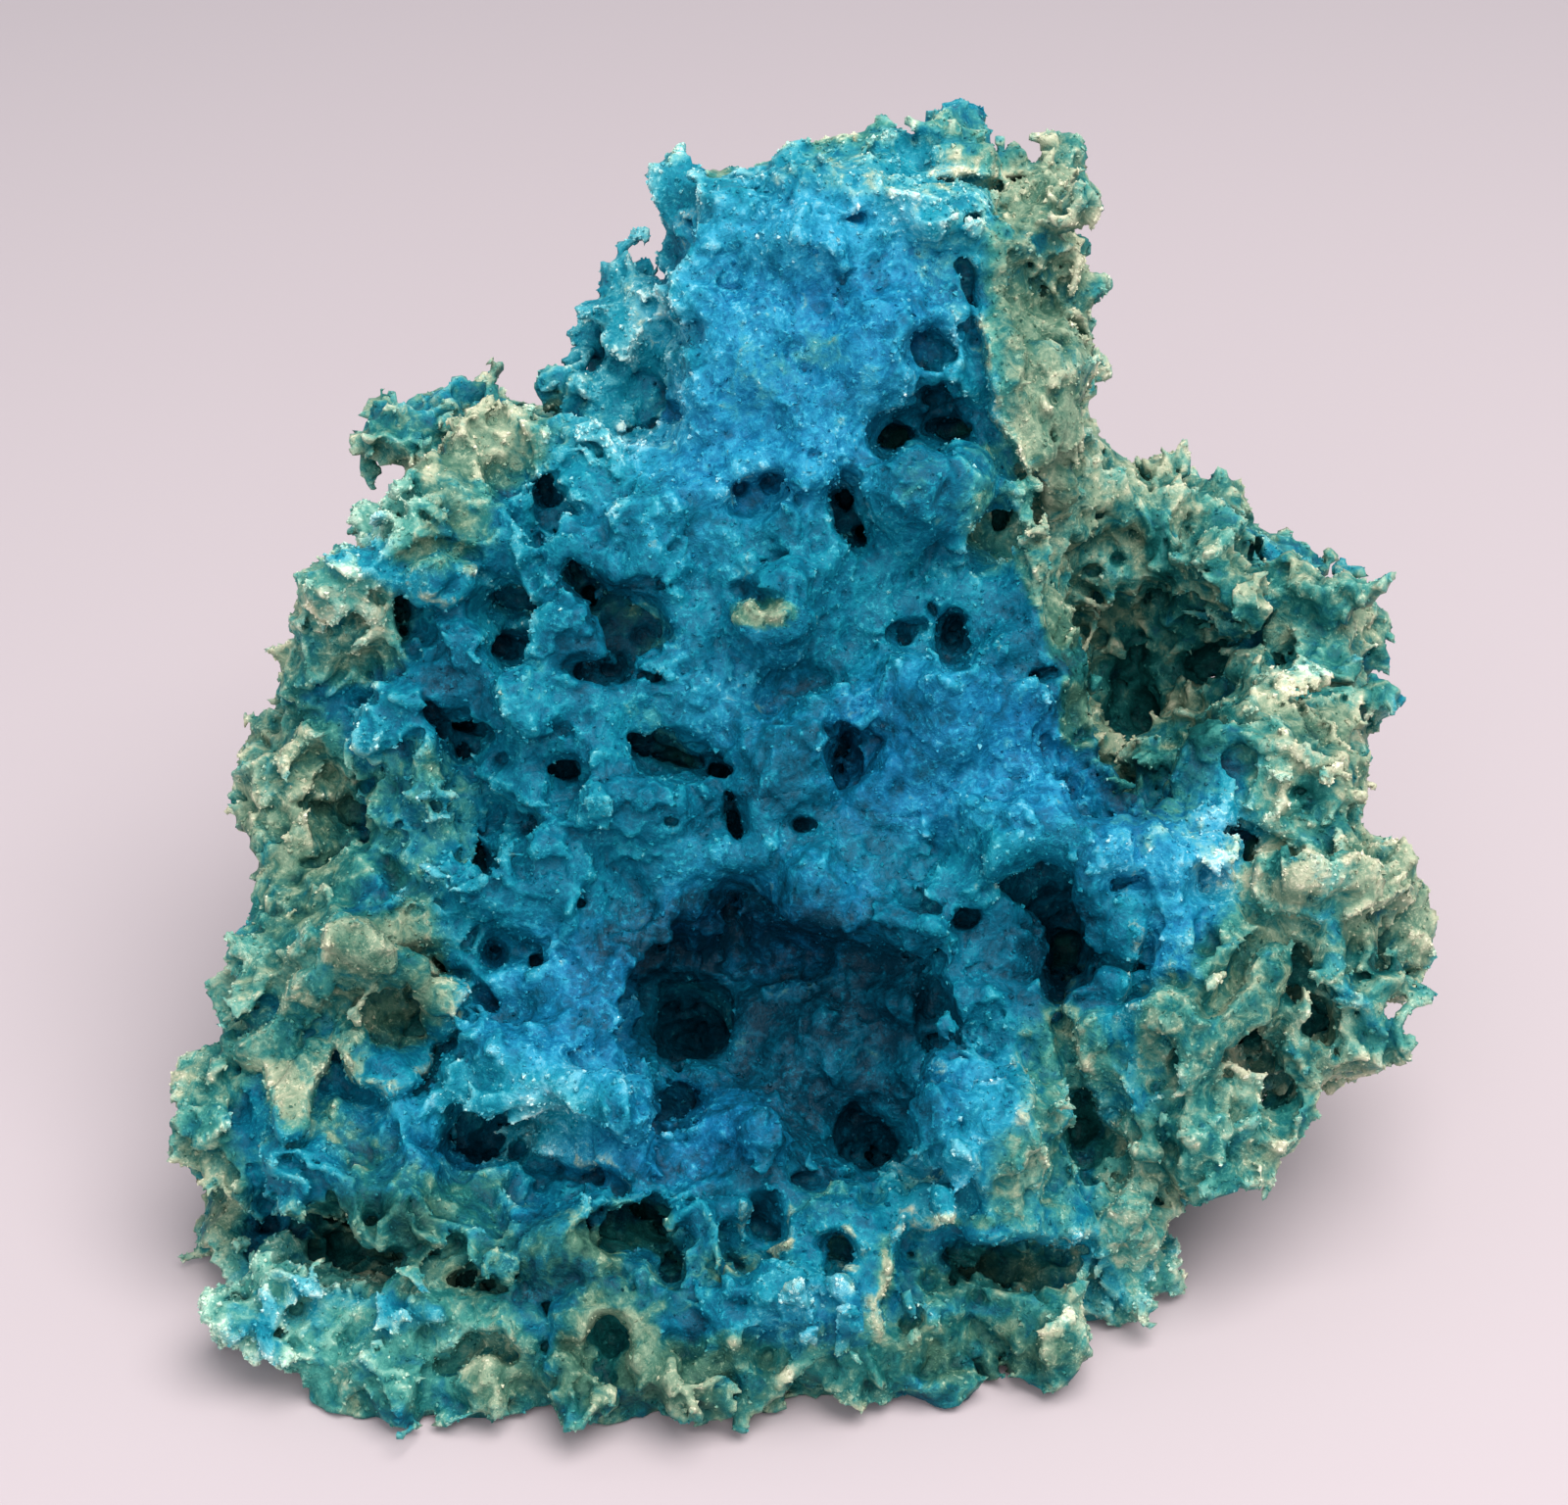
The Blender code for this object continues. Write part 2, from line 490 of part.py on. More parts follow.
def make_specimen():
    dice = random.Random(SCATTER_SEED)
    specimen = make_mass(dice)
    hollows = make_hollows(specimen, dice)
    thin(specimen, SKIN_TRIANGLES)
    cut(specimen, hollows)
    cut(specimen, make_ground())
    fuse(specimen, HOLLOW_VOXEL)
    settle(specimen)
    keep_largest_piece(specimen)
    thin(specimen, TRIANGLES)
    flatten_foot(specimen)
    centre(specimen)
    specimen.data.materials.clear()
    specimen.data.materials.append(stone_material())
    return specimen


def clear_scene():
    for obj in list(bpy.data.objects):
        bpy.data.objects.remove(obj, do_unlink=True)


clear_scene()
make_specimen()
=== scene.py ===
"""A chalcanthite specimen: a waxy blue, spongy mass of copper sulphate with sugary grains and a tan crust.

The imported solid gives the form. A distance field is made of it, craggy relief, pits and thin crust lips are
worked into the field, and the finished skin and its crystal grains are drawn from the result.
"""

import json
import math

import bpy
import numpy as np
import openvdb
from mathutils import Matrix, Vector

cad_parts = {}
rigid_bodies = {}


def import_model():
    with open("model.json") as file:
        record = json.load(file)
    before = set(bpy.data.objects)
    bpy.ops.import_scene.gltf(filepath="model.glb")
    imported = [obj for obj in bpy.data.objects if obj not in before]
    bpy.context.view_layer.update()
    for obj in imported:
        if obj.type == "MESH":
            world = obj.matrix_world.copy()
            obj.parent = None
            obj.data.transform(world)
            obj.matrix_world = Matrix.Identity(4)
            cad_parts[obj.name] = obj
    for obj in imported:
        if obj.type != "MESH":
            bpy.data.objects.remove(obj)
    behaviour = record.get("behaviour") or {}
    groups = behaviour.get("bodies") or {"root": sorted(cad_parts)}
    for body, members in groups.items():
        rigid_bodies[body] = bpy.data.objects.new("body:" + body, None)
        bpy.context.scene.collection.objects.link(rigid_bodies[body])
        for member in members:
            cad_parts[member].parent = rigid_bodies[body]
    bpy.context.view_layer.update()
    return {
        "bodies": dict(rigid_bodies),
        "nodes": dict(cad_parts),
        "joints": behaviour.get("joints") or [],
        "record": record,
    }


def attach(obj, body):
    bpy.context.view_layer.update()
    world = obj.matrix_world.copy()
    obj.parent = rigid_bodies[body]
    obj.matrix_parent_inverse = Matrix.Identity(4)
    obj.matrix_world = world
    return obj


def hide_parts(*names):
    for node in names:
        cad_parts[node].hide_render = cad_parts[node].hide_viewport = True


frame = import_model()
NODE = "chalcanthite_mass"

# Work is done in millimetres, on a grid of this spacing.
GRID = 0.30
BAND = 3.0  # distances are kept up to this
MARGIN = 12  # grid steps that are kept free round the stone
SKIN_TRIANGLES = 197000
# The stone is drawn in three pieces that reach this far into each other, in mm: the front above and below
# SEAM_UP, and all that lies behind SEAM_OUT.
SEAM_OUT = -13.0
SEAM_UP = -4.0
SEAM_OVERLAP = 0.3
GRAINS = 23500
GRAIN_SIZES = [(0.10, 0.22), (0.08, 0.17)]
BASE_LIGHT = 0.345  # where even ground lies on the scales of colour

# The show face leans back by 30 degrees. A place on it is (across, up, out) in millimetres, as it looks
# from the camera, which stands CAMERA_BACK mm out on the axis of the face.
LEAN = math.radians(30)
FACE_CENTRE = np.array((-2.2413, -8.0059, 31.0))
ACROSS = np.array((1, 0, 0))
UP = np.array((0, math.sin(LEAN), math.cos(LEAN)))
OUT = np.array((0, -math.cos(LEAN), math.sin(LEAN)))
CAMERA_BACK = 186.0


def to_face(points):
    """(across, up, out) of points in world millimetres, with across and up as the camera sees them."""
    rel = points - FACE_CENTRE
    out = rel @ OUT
    seen = CAMERA_BACK / (CAMERA_BACK - out)
    return rel @ ACROSS * seen, rel @ UP * seen, out


def from_face(across, up, out):
    """World millimetres of the point that the camera sees at (across, up), this far out."""
    shrink = 1 - out / CAMERA_BACK
    return FACE_CENTRE + np.outer(across * shrink, ACROSS) + np.outer(up * shrink, UP) + np.outer(out, OUT)


# ---------------------------------------------------------------- noise


TABLES = {}


def turn_of(rng):
    """A random turn and shift, so that no grid shows in the noise."""
    turn, _ = np.linalg.qr(rng.normal(size=(3, 3)))
    return turn.astype(np.float32), rng.uniform(0, 100, 3).astype(np.float32)


def noise(points, size, seed):
    """Smooth noise from -1 to 1 whose features are about that size."""
    if seed not in TABLES:
        rng = np.random.default_rng(seed)
        TABLES[seed] = rng.uniform(-1, 1, (64, 64, 64)).astype(np.float32), turn_of(rng)
    table, (turn, shift) = TABLES[seed]
    q = (points @ turn + shift) / np.float32(size)
    low = np.floor(q).astype(np.int32)
    f = q - low
    f = f * f * (3 - 2 * f)
    lo = low & 63
    hi = (low + 1) & 63
    x0, y0, z0 = lo.T
    x1, y1, z1 = hi.T
    fx, fy, fz = f.T
    a = table[x0, y0, z0] * (1 - fz) + table[x0, y0, z1] * fz
    b = table[x0, y1, z0] * (1 - fz) + table[x0, y1, z1] * fz
    c = table[x1, y0, z0] * (1 - fz) + table[x1, y0, z1] * fz
    d = table[x1, y1, z0] * (1 - fz) + table[x1, y1, z1] * fz
    return (a * (1 - fy) + b * fy) * (1 - fx) + (c * (1 - fy) + d * fy) * fx


def ridges(points, size, seed):
    """Noise from -1 to 1 with thin sharp crests and broad round dips between them."""
    return 1 - 2.6 * np.abs(noise(points, size, seed))


def fractal(points, size, octaves, seed):
    """Noise of several sizes, each half the size of the one before it and a little over half as strong."""
    total = 0
    for octave in range(octaves):
        total = total + 0.55**octave * noise(points, size / 2**octave, seed + octave)
    return total


def terraced(height, step, sharpness):
    """The height, cut into flat steps with steep edges."""
    level = height / step
    low = np.floor(level)
    rise = level - low
    rise = rise**sharpness / (rise**sharpness + (1 - rise) ** sharpness)
    return (low + rise) * step


def pores(points, size, smallest, largest, seed):
    """How far a point is inside the nearest of many scattered balls, in mm. Outside them it is below 0."""
    rng = np.random.default_rng(seed)
    table = rng.uniform(0, 1, (32, 32, 32, 4)).astype(np.float32)
    turn, shift = turn_of(rng)
    q = (points @ turn + shift) / np.float32(size)
    base = np.floor(q - 0.5).astype(np.int32)
    best = np.full(len(points), -9, np.float32)
    for dx in (0, 1):
        for dy in (0, 1):
            for dz in (0, 1):
                cell = base + np.array((dx, dy, dz), np.int32)
                drawn = table[cell[:, 0] & 31, cell[:, 1] & 31, cell[:, 2] & 31]
                centre = cell + np.float32(0.5) + (drawn[:, :3] - np.float32(0.5)) * np.float32(0.5)
                radius = smallest + (largest - smallest) * drawn[:, 3] ** 2
                best = np.maximum(best, radius / size - np.linalg.norm(q - centre, axis=1))
    return best * np.float32(size)


def warped(points, size, reach, seed):
    """The points, pushed about by noise, so that what is drawn there meanders."""
    push = [noise(points, size, seed + axis) for axis in range(3)]
    return points + np.float32(reach) * np.stack(push, axis=1)


def blur(field, passes):
    """Smooths a grid; the reach grows with the square root of the passes."""
    for _ in range(passes):
        for axis in range(3):
            field = np.moveaxis(field, axis, 0)
            field[1:-1] = 0.25 * (field[:-2] + field[2:]) + 0.5 * field[1:-1]
            field = np.moveaxis(field, 0, axis)
    return field


def ramp(value, low, high):
    """0 below low, 1 above high, and smooth between."""
    t = np.clip((value - low) / (high - low), 0, 1)
    return t * t * (3 - 2 * t)


def spread(zones, across, up):
    """How strongly the list's patches reach each place: full inside, fading over the outer half."""
    total = np.zeros(len(across), np.float32)
    for at_across, at_up, half_width, half_height, strength in zones:
        away = np.hypot((across - at_across) / half_width, (up - at_up) / half_height)
        total = np.maximum(total, strength * ramp(-away, -1.5, -0.5))
    return total


def added(zones, across, up):
    """The sum of what the list's patches say at each place."""
    return sum(spread([zone[:4] + (1.0,)], across, up) * zone[4] for zone in zones)


# ---------------------------------------------------------------- the distance field


class Field:
    """Signed distances in millimetres on a grid: below 0 is stone."""

    def __init__(self, obj):
        mesh = obj.data
        mesh.calc_loop_triangles()
        points = np.empty(len(mesh.vertices) * 3, np.float32)
        mesh.vertices.foreach_get("co", points)
        points = points.reshape(-1, 3) * 1000
        triangles = np.empty(len(mesh.loop_triangles) * 3, np.int32)
        mesh.loop_triangles.foreach_get("vertices", triangles)
        grid = openvdb.FloatGrid.createLevelSetFromPolygons(
            points,
            triangles=triangles.reshape(-1, 3).astype(np.uint32),
            transform=openvdb.createLinearTransform(GRID),
            halfWidth=BAND / GRID,
        )
        self.low = np.floor(points.min(0) / GRID).astype(int) - MARGIN
        shape = np.ceil(points.max(0) / GRID).astype(int) + MARGIN - self.low
        self.value = np.full(shape, BAND, np.float32)
        grid.copyToArray(self.value, ijk=tuple(int(i) for i in self.low))
        self.lips = np.zeros(shape, np.float32)
        # Where shade is painted deep inside the holes, from 0 to 1.
        self.hole_shade = np.zeros(shape, np.float32)

    def place(self, index):
        return ((index + self.low) * np.float32(GRID)).astype(np.float32)

    def near(self, reach):
        """(flat indices, world points) of the grid points within reach of the skin."""
        flat = np.flatnonzero(np.abs(self.value.ravel()) < reach)
        index = np.stack(np.unravel_index(flat, self.value.shape), axis=1)
        return flat, self.place(index)

    def at(self, points, values=None):
        """The field, or another grid of its shape, at any world points."""
        grid = self.value if values is None else values
        q = points / GRID - self.low
        low = np.clip(np.floor(q).astype(int), 0, np.array(grid.shape) - 2)
        f = (q - low).astype(np.float32)
        x, y, z = low.T
        fx, fy, fz = f.T
        total = 0
        for dx in (0, 1):
            for dy in (0, 1):
                for dz in (0, 1):
                    share = (fx if dx else 1 - fx) * (fy if dy else 1 - fy) * (fz if dz else 1 - fz)
                    total = total + share * grid[x + dx, y + dy, z + dz]
        return total

    def on_skin(self, across, up):
        """The first points of the skin that the camera sees at (across, up)."""
        across, up = np.atleast_1d(across).astype(float), np.atleast_1d(up).astype(float)
        out = np.full(len(across), 24.0)
        going = np.ones(len(across), bool)
        while going.any() and out.min() > -60:
            inside = self.at(from_face(across, up, out)) < 0
            going &= ~inside
            out[going] -= 0.25
        return from_face(across, up, out), ~going

    def stamp(self, centre, radius, frame, hollow, soft, ragged=0.0, mark=True):
        """Adds an ellipsoid to the stone, or takes it away, with an edge rounded by soft mm and made ragged.

        A mark notes the place as a lip, for the pale crust, or as a deep hole, where shade is painted.
        """
        reach = max(radius) + 2.0
        low = np.maximum(np.floor((centre - reach) / GRID).astype(int) - self.low, 0)
        high = np.ceil((centre + reach) / GRID).astype(int) - self.low + 1
        high = np.minimum(high, self.value.shape)
        if (high <= low).any():
            return
        part = self.value[low[0]:high[0], low[1]:high[1], low[2]:high[2]]
        index = np.stack(np.meshgrid(*[np.arange(a, b) for a, b in zip(low, high)], indexing="ij"), -1)
        points = self.place(index)
        local = (points - centre) @ frame
        distance = (np.linalg.norm(local / radius, axis=-1) - 1) * min(radius)
        distance += ragged * fractal(points.reshape(-1, 3), 1.7, 3, 90).reshape(distance.shape)
        window = (slice(low[0], high[0]), slice(low[1], high[1]), slice(low[2], high[2]))
        if hollow:
            # How far inside a deep hole the place lies: shade is painted there.
            deep = mark * ramp(local[..., 2], 0.3, 1.8) * ramp(-distance, -0.9, -0.4)
            self.hole_shade[window] = np.maximum(self.hole_shade[window], deep)
            other = -distance
            h = np.clip(0.5 + 0.5 * (other - part) / soft, 0, 1)
            part[:] = part * (1 - h) + other * h + soft * h * (1 - h)
        else:
            self.lips[window] = np.maximum(self.lips[window], mark * ramp(-distance, -0.4, 0.0))
            h = np.clip(0.5 + 0.5 * (part - distance) / soft, 0, 1)
            part[:] = part * (1 - h) + distance * h - soft * h * (1 - h)


# Swells that are laid on the skin, as (across, up, how far in, half width, half height, half depth, turn).
SWELLS = [
    (2.6, -19.5, 1.6, 4.2, 5.2, 3.2, -20),  # the bulging back wall of the grotto
    (-1.6, -24.6, 0.3, 1.1, 2.2, 1.3, 5),  # tooth on its sill
    (-12.0, -21.4, 0.5, 3.6, 2.0, 1.5, -25),  # pale flap beside it
    (-9.0, -24.6, 0.4, 2.0, 1.2, 1.2, -50),
    (0.3, -34.2, 0.8, 4.2, 2.6, 2.0, 0),
    (13.0, -24.3, 0.8, 3.9, 4.6, 2.6, 0),  # nose
    (-26.4, -12.2, 0.2, 2.9, 1.7, 1.0, -38),  # hood
    (25.5, -6.5, 0.8, 4.2, 3.2, 1.8, -30),
    (13.0, -29.1, -0.2, 6.4, 0.9, 1.6, -3),  # ledge over the niche
    (6.6, -33.0, 0.0, 0.8, 3.0, 1.3, 0),
    (-5.0, -6.5, 0.9, 4.6, 1.6, 1.6, 5),
]
# Knobs past the outline, as (across, up, out, half width, half height, half depth).
KNOBS = [
    (17.6, 37.6, -12.0, 1.6, 1.4, 1.8),
    (-9.4, 27.4, -13.0, 1.6, 3.2, 2.4),
    (6.5, 37.6, -9.0, 2.4, 1.0, 2.0),
    (-26.0, -41.3, 7.5, 3.2, 1.3, 2.2),
    (24.0, 17.0, -20.0, 1.6, 1.4, 2.0),
    (-34.6, -30.6, -3.0, 2.0, 2.8, 4.0),
    (37.0, -1.6, -12.0, 1.0, 0.8, 2.5),
]
# Hollows that open the stone from in front, in the same way.
PITS = [
    (23.4, 8.0, -12.0, 4.2, 5.0, 8.0),
    (22.2, 0.8, -8.0, 2.1, 4.4, 7.0),
    (28.0, 7.8, -14.0, 1.9, 1.5, 5.0),
    (-3.0, -13.2, -4.0, 6.0, 2.6, 6.0),
    (-9.0, -16.5, -3.0, 2.6, 3.2, 4.5),
    (9.4, -18.0, -1.5, 1.1, 4.4, 3.5),
    (22.3, 9.5, -9.0, 3.8, 4.8, 9.0),
    (21.2, 0.6, -5.0, 2.1, 4.4, 8.0),
    # These trim the outline.
    (24.4, 30.5, -14.0, 5.6, 10.0, 9.0),
    (-21.2, 25.8, -20.0, 5.2, 4.0, 9.0),
    (-29.6, 20.6, -18.0, 3.8, 4.2, 10.0),
    (-15.6, 27.0, -14.0, 4.3, 3.4, 9.0),
    (-12.0, 32.6, -12.0, 3.0, 2.4, 9.0),
    (36.5, 15.4, -18.0, 6.0, 5.0, 9.0),
    (40.6, 7.0, -16.0, 4.2, 5.0, 8.0),
    (39.0, 1.4, -14.0, 3.4, 2.0, 9.0),
    (42.6, -18.2, -3.0, 6.8, 4.8, 10.0),
    (25.2, -37.4, -0.5, 3.6, 4.2, 6.0),
    (20.8, -40.8, 3.0, 3.6, 3.4, 5.0),
    (6.5, -44.0, 8.0, 5.5, 3.2, 8.0),
    (-38.0, 1.4, -12.0, 4.8, 6.0, 10.0),
    (-40.6, -21.0, -6.0, 2.6, 4.0, 10.0),
]
# Shallow bowls, as (across, up, half width, half height, depth, turn).
BOWLS = [
    (13.4, -32.8, 6.0, 2.1, 2.4, -3),  # niche under the nose
    (-27.2, -30.6, 5.4, 2.7, 2.4, -8),
    (-24.7, -16.3, 2.9, 2.2, 2.2, -35),  # under the hood
    (-19.2, -23.0, 1.7, 1.6, 1.5, 0),
    (-17.8, -34.2, 2.9, 1.5, 1.7, 0),
    (10.2, 12.5, 1.8, 1.5, 1.0, 0),
    (22.5, -20.5, 2.2, 3.4, 1.4, 10),
    (1.2, 4.5, 2.3, 1.4, 1.3, 10),
    (16.0, -8.2, 2.0, 1.6, 1.6, 0),
    (-10.4, 8.0, 2.8, 2.4, 1.2, 0),
    (-19.0, -3.6, 2.5, 2.2, 2.0, 0),
    (9.1, 25.7, 1.1, 1.0, 0.9, 0),
    (-15.5, -13.3, 1.0, 1.1, 0.8, 0),
    (-21.7, -9.0, 0.9, 0.7, 0.8, 0),
    (-7.0, -22.3, 2.4, 2.6, 1.6, 0),
    (-3.2, -11.4, 1.4, 3.0, 2.5, 8),
]
# Deep holes, in the same way.
HOLES = [
    # the tower
    (9.3, 22.3, 2.1, 1.2, 4.5, -12),
    (6.9, 20.0, 1.2, 1.0, 4.5, 20),
    (10.4, 20.6, 1.6, 0.7, 3.5, -5),
    (11.8, 29.6, 0.5, 1.6, 2.5, 0),
    (-7.6, 21.7, 1.7, 0.8, 2.0, -35),
    (4.3, 33.7, 1.2, 0.5, 1.6, 5),
    (-5.0, 31.4, 0.6, 0.4, 1.0, 0),
    # the middle of the body
    (3.9, 16.0, 0.7, 1.2, 5.0, 10),
    (4.8, 14.0, 0.9, 0.8, 5.0, 0),
    (-2.8, 16.5, 0.6, 0.6, 2.5, 0),
    (-0.9, 17.0, 0.8, 0.6, 2.0, 30),
    (-1.1, 12.8, 1.0, 0.8, 1.7, -30),
    (-2.0, 9.9, 0.55, 0.5, 2.0, -40),
    (13.6, 15.0, 0.6, 1.5, 2.5, -10),
    (7.6, 7.7, 1.3, 0.7, 3.0, 20),
    (10.6, 7.2, 0.8, 1.8, 3.0, -5),
    (9.3, 9.3, 0.5, 0.8, 3.0, 30),
    (3.8, 0.3, 0.9, 1.4, 4.5, 0),
    (3.6, -1.2, 0.5, 1.1, 4.0, 0),
    (1.2, -4.5, 0.75, 0.5, 2.5, 0),
    (-3.2, -4.0, 0.55, 2.1, 4.0, 8),
    (-9.2, 0.7, 1.6, 0.6, 3.0, -30),
    (-6.4, -0.4, 2.0, 0.6, 3.5, -10),
    (-3.9, -1.3, 1.4, 0.7, 3.5, -35),
    (-7.2, -4.5, 0.7, 0.5, 2.0, 0),
    (16.5, 5.0, 1.5, 0.5, 3.0, 10),
    # the left shoulder
    (-15.0, 16.5, 0.8, 1.0, 3.0, 0),
    (-15.5, 13.8, 0.5, 1.2, 3.0, 0),
    (-13.2, 11.5, 0.5, 1.1, 3.0, 25),
    (-12.2, 9.8, 0.5, 0.9, 3.0, 20),
    (-10.0, 10.5, 1.9, 0.5, 3.0, 5),
    (-11.0, 5.1, 2.7, 0.8, 3.6, -5),
    (-17.0, 9.5, 1.7, 1.1, 2.2, 0),
    (-17.2, 6.8, 1.5, 0.9, 2.6, 0),
    (-24.2, 9.0, 0.7, 1.8, 4.0, 10),
    (-22.2, 2.6, 1.2, 0.5, 2.5, -50),
    (-19.9, 1.8, 1.6, 0.5, 2.5, -10),
    (-20.5, 0.0, 0.6, 1.0, 2.5, 0),
    (-17.8, -0.3, 0.65, 0.65, 2.0, 0),
    (-14.0, -1.0, 1.5, 0.8, 3.0, -10),
    (-19.0, -6.3, 1.0, 1.4, 2.2, 0),
    (-16.0, -4.5, 0.5, 0.6, 2.0, 0),
    # the lower left
    (-23.0, -17.4, 1.5, 1.0, 2.0, -30),
    (-18.2, -12.4, 0.8, 0.9, 3.0, 0),
    (-18.5, -16.0, 0.5, 0.45, 2.0, 0),
    (-12.8, -9.5, 0.6, 0.6, 2.5, 0),
    (-19.3, -25.5, 1.1, 0.5, 4.0, 10),
    (-15.5, -27.5, 0.6, 0.4, 2.0, 0),
    (-32.5, -30.0, 0.9, 1.0, 2.5, 0),
    (-24.6, -32.0, 1.8, 0.8, 2.0, 10),
    (-29.5, -31.3, 1.3, 0.7, 2.0, -10),
    (-14.5, -35.8, 1.3, 0.9, 2.0, 0),
    # the grotto
    (-6.1, -18.0, 3.2, 2.9, 6.0, 5),
    (-7.8, -23.4, 1.4, 1.0, 4.0, 0),
    (5.6, -25.4, 1.9, 1.5, 5.0, 35),
    (1.5, -27.0, 1.3, 0.5, 3.0, 0),
    (11.5, -10.5, 1.3, 0.8, 3.0, 10),
    (7.4, -12.8, 1.3, 0.6, 2.0, 0),
    (17.8, -12.5, 1.6, 2.5, 5.0, 0),
    # the lower middle
    (-9.6, -29.7, 3.4, 1.4, 4.5, 10),
    (-7.2, -32.0, 1.2, 1.6, 3.5, 0),
    (-1.1, -29.8, 0.9, 1.2, 1.8, 0),
    (3.3, -31.3, 1.3, 1.0, 1.4, 0),
    (-11.2, -37.6, 1.0, 1.8, 2.0, 0),
    (18.8, -24.0, 0.9, 2.8, 4.0, 12),
    (13.0, -31.9, 4.2, 0.8, 1.8, -3),
    # the right side
    (29.2, -5.8, 1.1, 1.0, 2.5, 0),
    (32.7, -6.0, 1.5, 0.7, 2.5, 15),
    (32.5, -2.5, 1.0, 0.5, 2.0, 0),
    (28.7, -17.8, 1.5, 1.0, 2.5, 30),
    (34.0, -17.5, 0.8, 1.2, 2.5, 0),
    (32.0, -14.5, 0.8, 1.3, 2.5, 15),
    (31.0, -21.8, 1.2, 1.5, 2.5, 0),
    (38.0, -13.5, 0.9, 0.5, 2.0, 0),
    (27.0, 5.5, 2.0, 1.6, 4.0, 20),
    (22.0, 3.0, 2.2, 5.2, 4.0, 0),
    (21.2, 12.3, 0.7, 0.5, 2.0, 0),
    (24.0, 12.2, 0.4, 1.2, 2.0, 10),
    (30.5, 7.5, 0.5, 0.5, 2.0, 0),
]

# Thin crust lips, each the edge of a low terrace, as (half thickness, side, run). The run is the
# (across, up) places that it passes through. The terrace lies to the left of the run for side 1, to its
# right for -1.
LIPS = [
    (0.27, 1, [
        (12.2, 31), (12.8, 28), (13, 24), (13.6, 22), (14, 20), (16, 18), (16.5, 16.5), (17, 15),
    ]),
    (0.26, 1, [(10, 37), (12.5, 36.6), (15, 37)]),
    (0.30, -1, [(-3.2, 9.2), (-2, 8.5), (0.3, 9.0)]),
    (0.28, -1, [
        (-28.1, -10.1), (-24.7, -12.5), (-20.5, -15.3), (-21.1, -17.2), (-23.5, -20),
        (-24.7, -21.5),
    ]),
    (0.28, -1, [
        (-24.7, -21.5), (-26.7, -20.4), (-28.7, -18), (-29.9, -20.4), (-30.6, -23.6),
        (-31.6, -24.2),
    ]),
    (0.28, -1, [(-31.6, -24.2), (-32.4, -21.6), (-32.8, -18.8), (-34.2, -19.2)]),
    (0.26, 1, [(-28.1, -10.1), (-29.5, -13), (-31.5, -16), (-34, -18.5)]),
    (0.26, 1, [(-16, -24.6), (-13.5, -26.0), (-11, -26.2), (-9.4, -27.4)]),
    (0.28, 1, [
        (18, -14.5), (18.5, -18), (19, -20), (20.4, -22.5), (22, -24), (22.5, -27), (21.5, -29),
        (19, -30.4),
    ]),
    (0.28, -1, [
        (19, -30.4), (17.5, -31.2), (15.5, -30), (13.4, -30.7), (11.2, -29.4), (9.4, -30),
        (7.6, -29.3), (6.3, -30.6), (6.8, -33), (5.8, -34.4), (6.5, -36.5),
    ]),
    (0.26, -1, [
        (19.5, -17), (21, -16.2), (24, -15.2), (25, -16), (27, -17.3), (29, -15.5), (30, -13.5),
        (32, -12),
    ]),
    (0.26, -1, [(21, -9), (23, -9), (22.4, -10.5), (22, -12), (21, -15)]),
    (0.26, 1, [(30, -6), (29.8, -8), (31, -10), (34, -10.5)]),
    (0.26, 1, [
        (1.6, -31), (2.6, -30.0), (4.6, -30.2), (5.2, -31.4), (4.4, -32.6), (2.4, -32.6),
        (1.6, -31),
    ]),
    (0.26, -1, [(-2.6, -28.8), (-2.4, -31), (-1.2, -31.6), (0.2, -30.8), (0.4, -28.8)]),
    (0.28, 1, [(-13, -37), (-12.4, -35.4), (-11, -34.9), (-9.6, -36), (-9.1, -38), (-9.5, -40)]),
    (0.26, 1, [(-21.5, -38), (-20, -36.4), (-17.6, -36.2), (-16.4, -38)]),
    (0.26, -1, [(27.5, 5), (28.4, 5.8), (29.5, 6)]),
    (0.26, -1, [(25, 2.5), (26.5, 2.7), (28, 3.5)]),
    (0.26, 1, [(25, 0), (24.8, -1.8), (24, -3.5)]),
    (0.26, -1, [(-24, 11), (-22, 12.6), (-20, 11.5), (-20.8, 10), (-23.5, 10)]),
    (0.26, -1, [(14.5, -19.5), (15.6, -21), (15, -23), (16.6, -25.5), (15.8, -28)]),
]


LIP_STEP = 0.34  # from one stamp of a lip to the next, in mm
# Places where the skin is smoother: (across, up, half width, half height, strength).
CALM = [
    (2.0, 27.0, 9.5, 12.0, 0.9),
    (0.0, -16.5, 11.0, 10.0, 0.8),
    (-1.0, -7.5, 10.0, 3.5, 0.7),
    (10.0, -1.0, 8.0, 5.0, 0.6),
    (25.0, -9.0, 5.0, 4.5, 0.5),
    (12.5, -24.5, 4.0, 5.0, 0.5),
    (-24.0, -26.0, 7.0, 3.5, 0.6),
    (-20.0, 5.5, 3.5, 3.0, 0.6),
    (-13.5, -18.5, 6.0, 5.0, 0.7),
    (-25.0, -13.0, 4.2, 4.2, 0.7),
    (-4.0, 20.0, 8.0, 4.0, 0.6),
    (2.0, 8.0, 14.0, 10.0, 0.45),
    (14.0, -32.0, 6.5, 3.5, 0.6),
]
# The maps of the lists' patches cover the face this far from its centre, with a value each MAP_STEP mm.
MAP_STEP = 0.25
MAP_REACH = 60.0
MAPS = {}


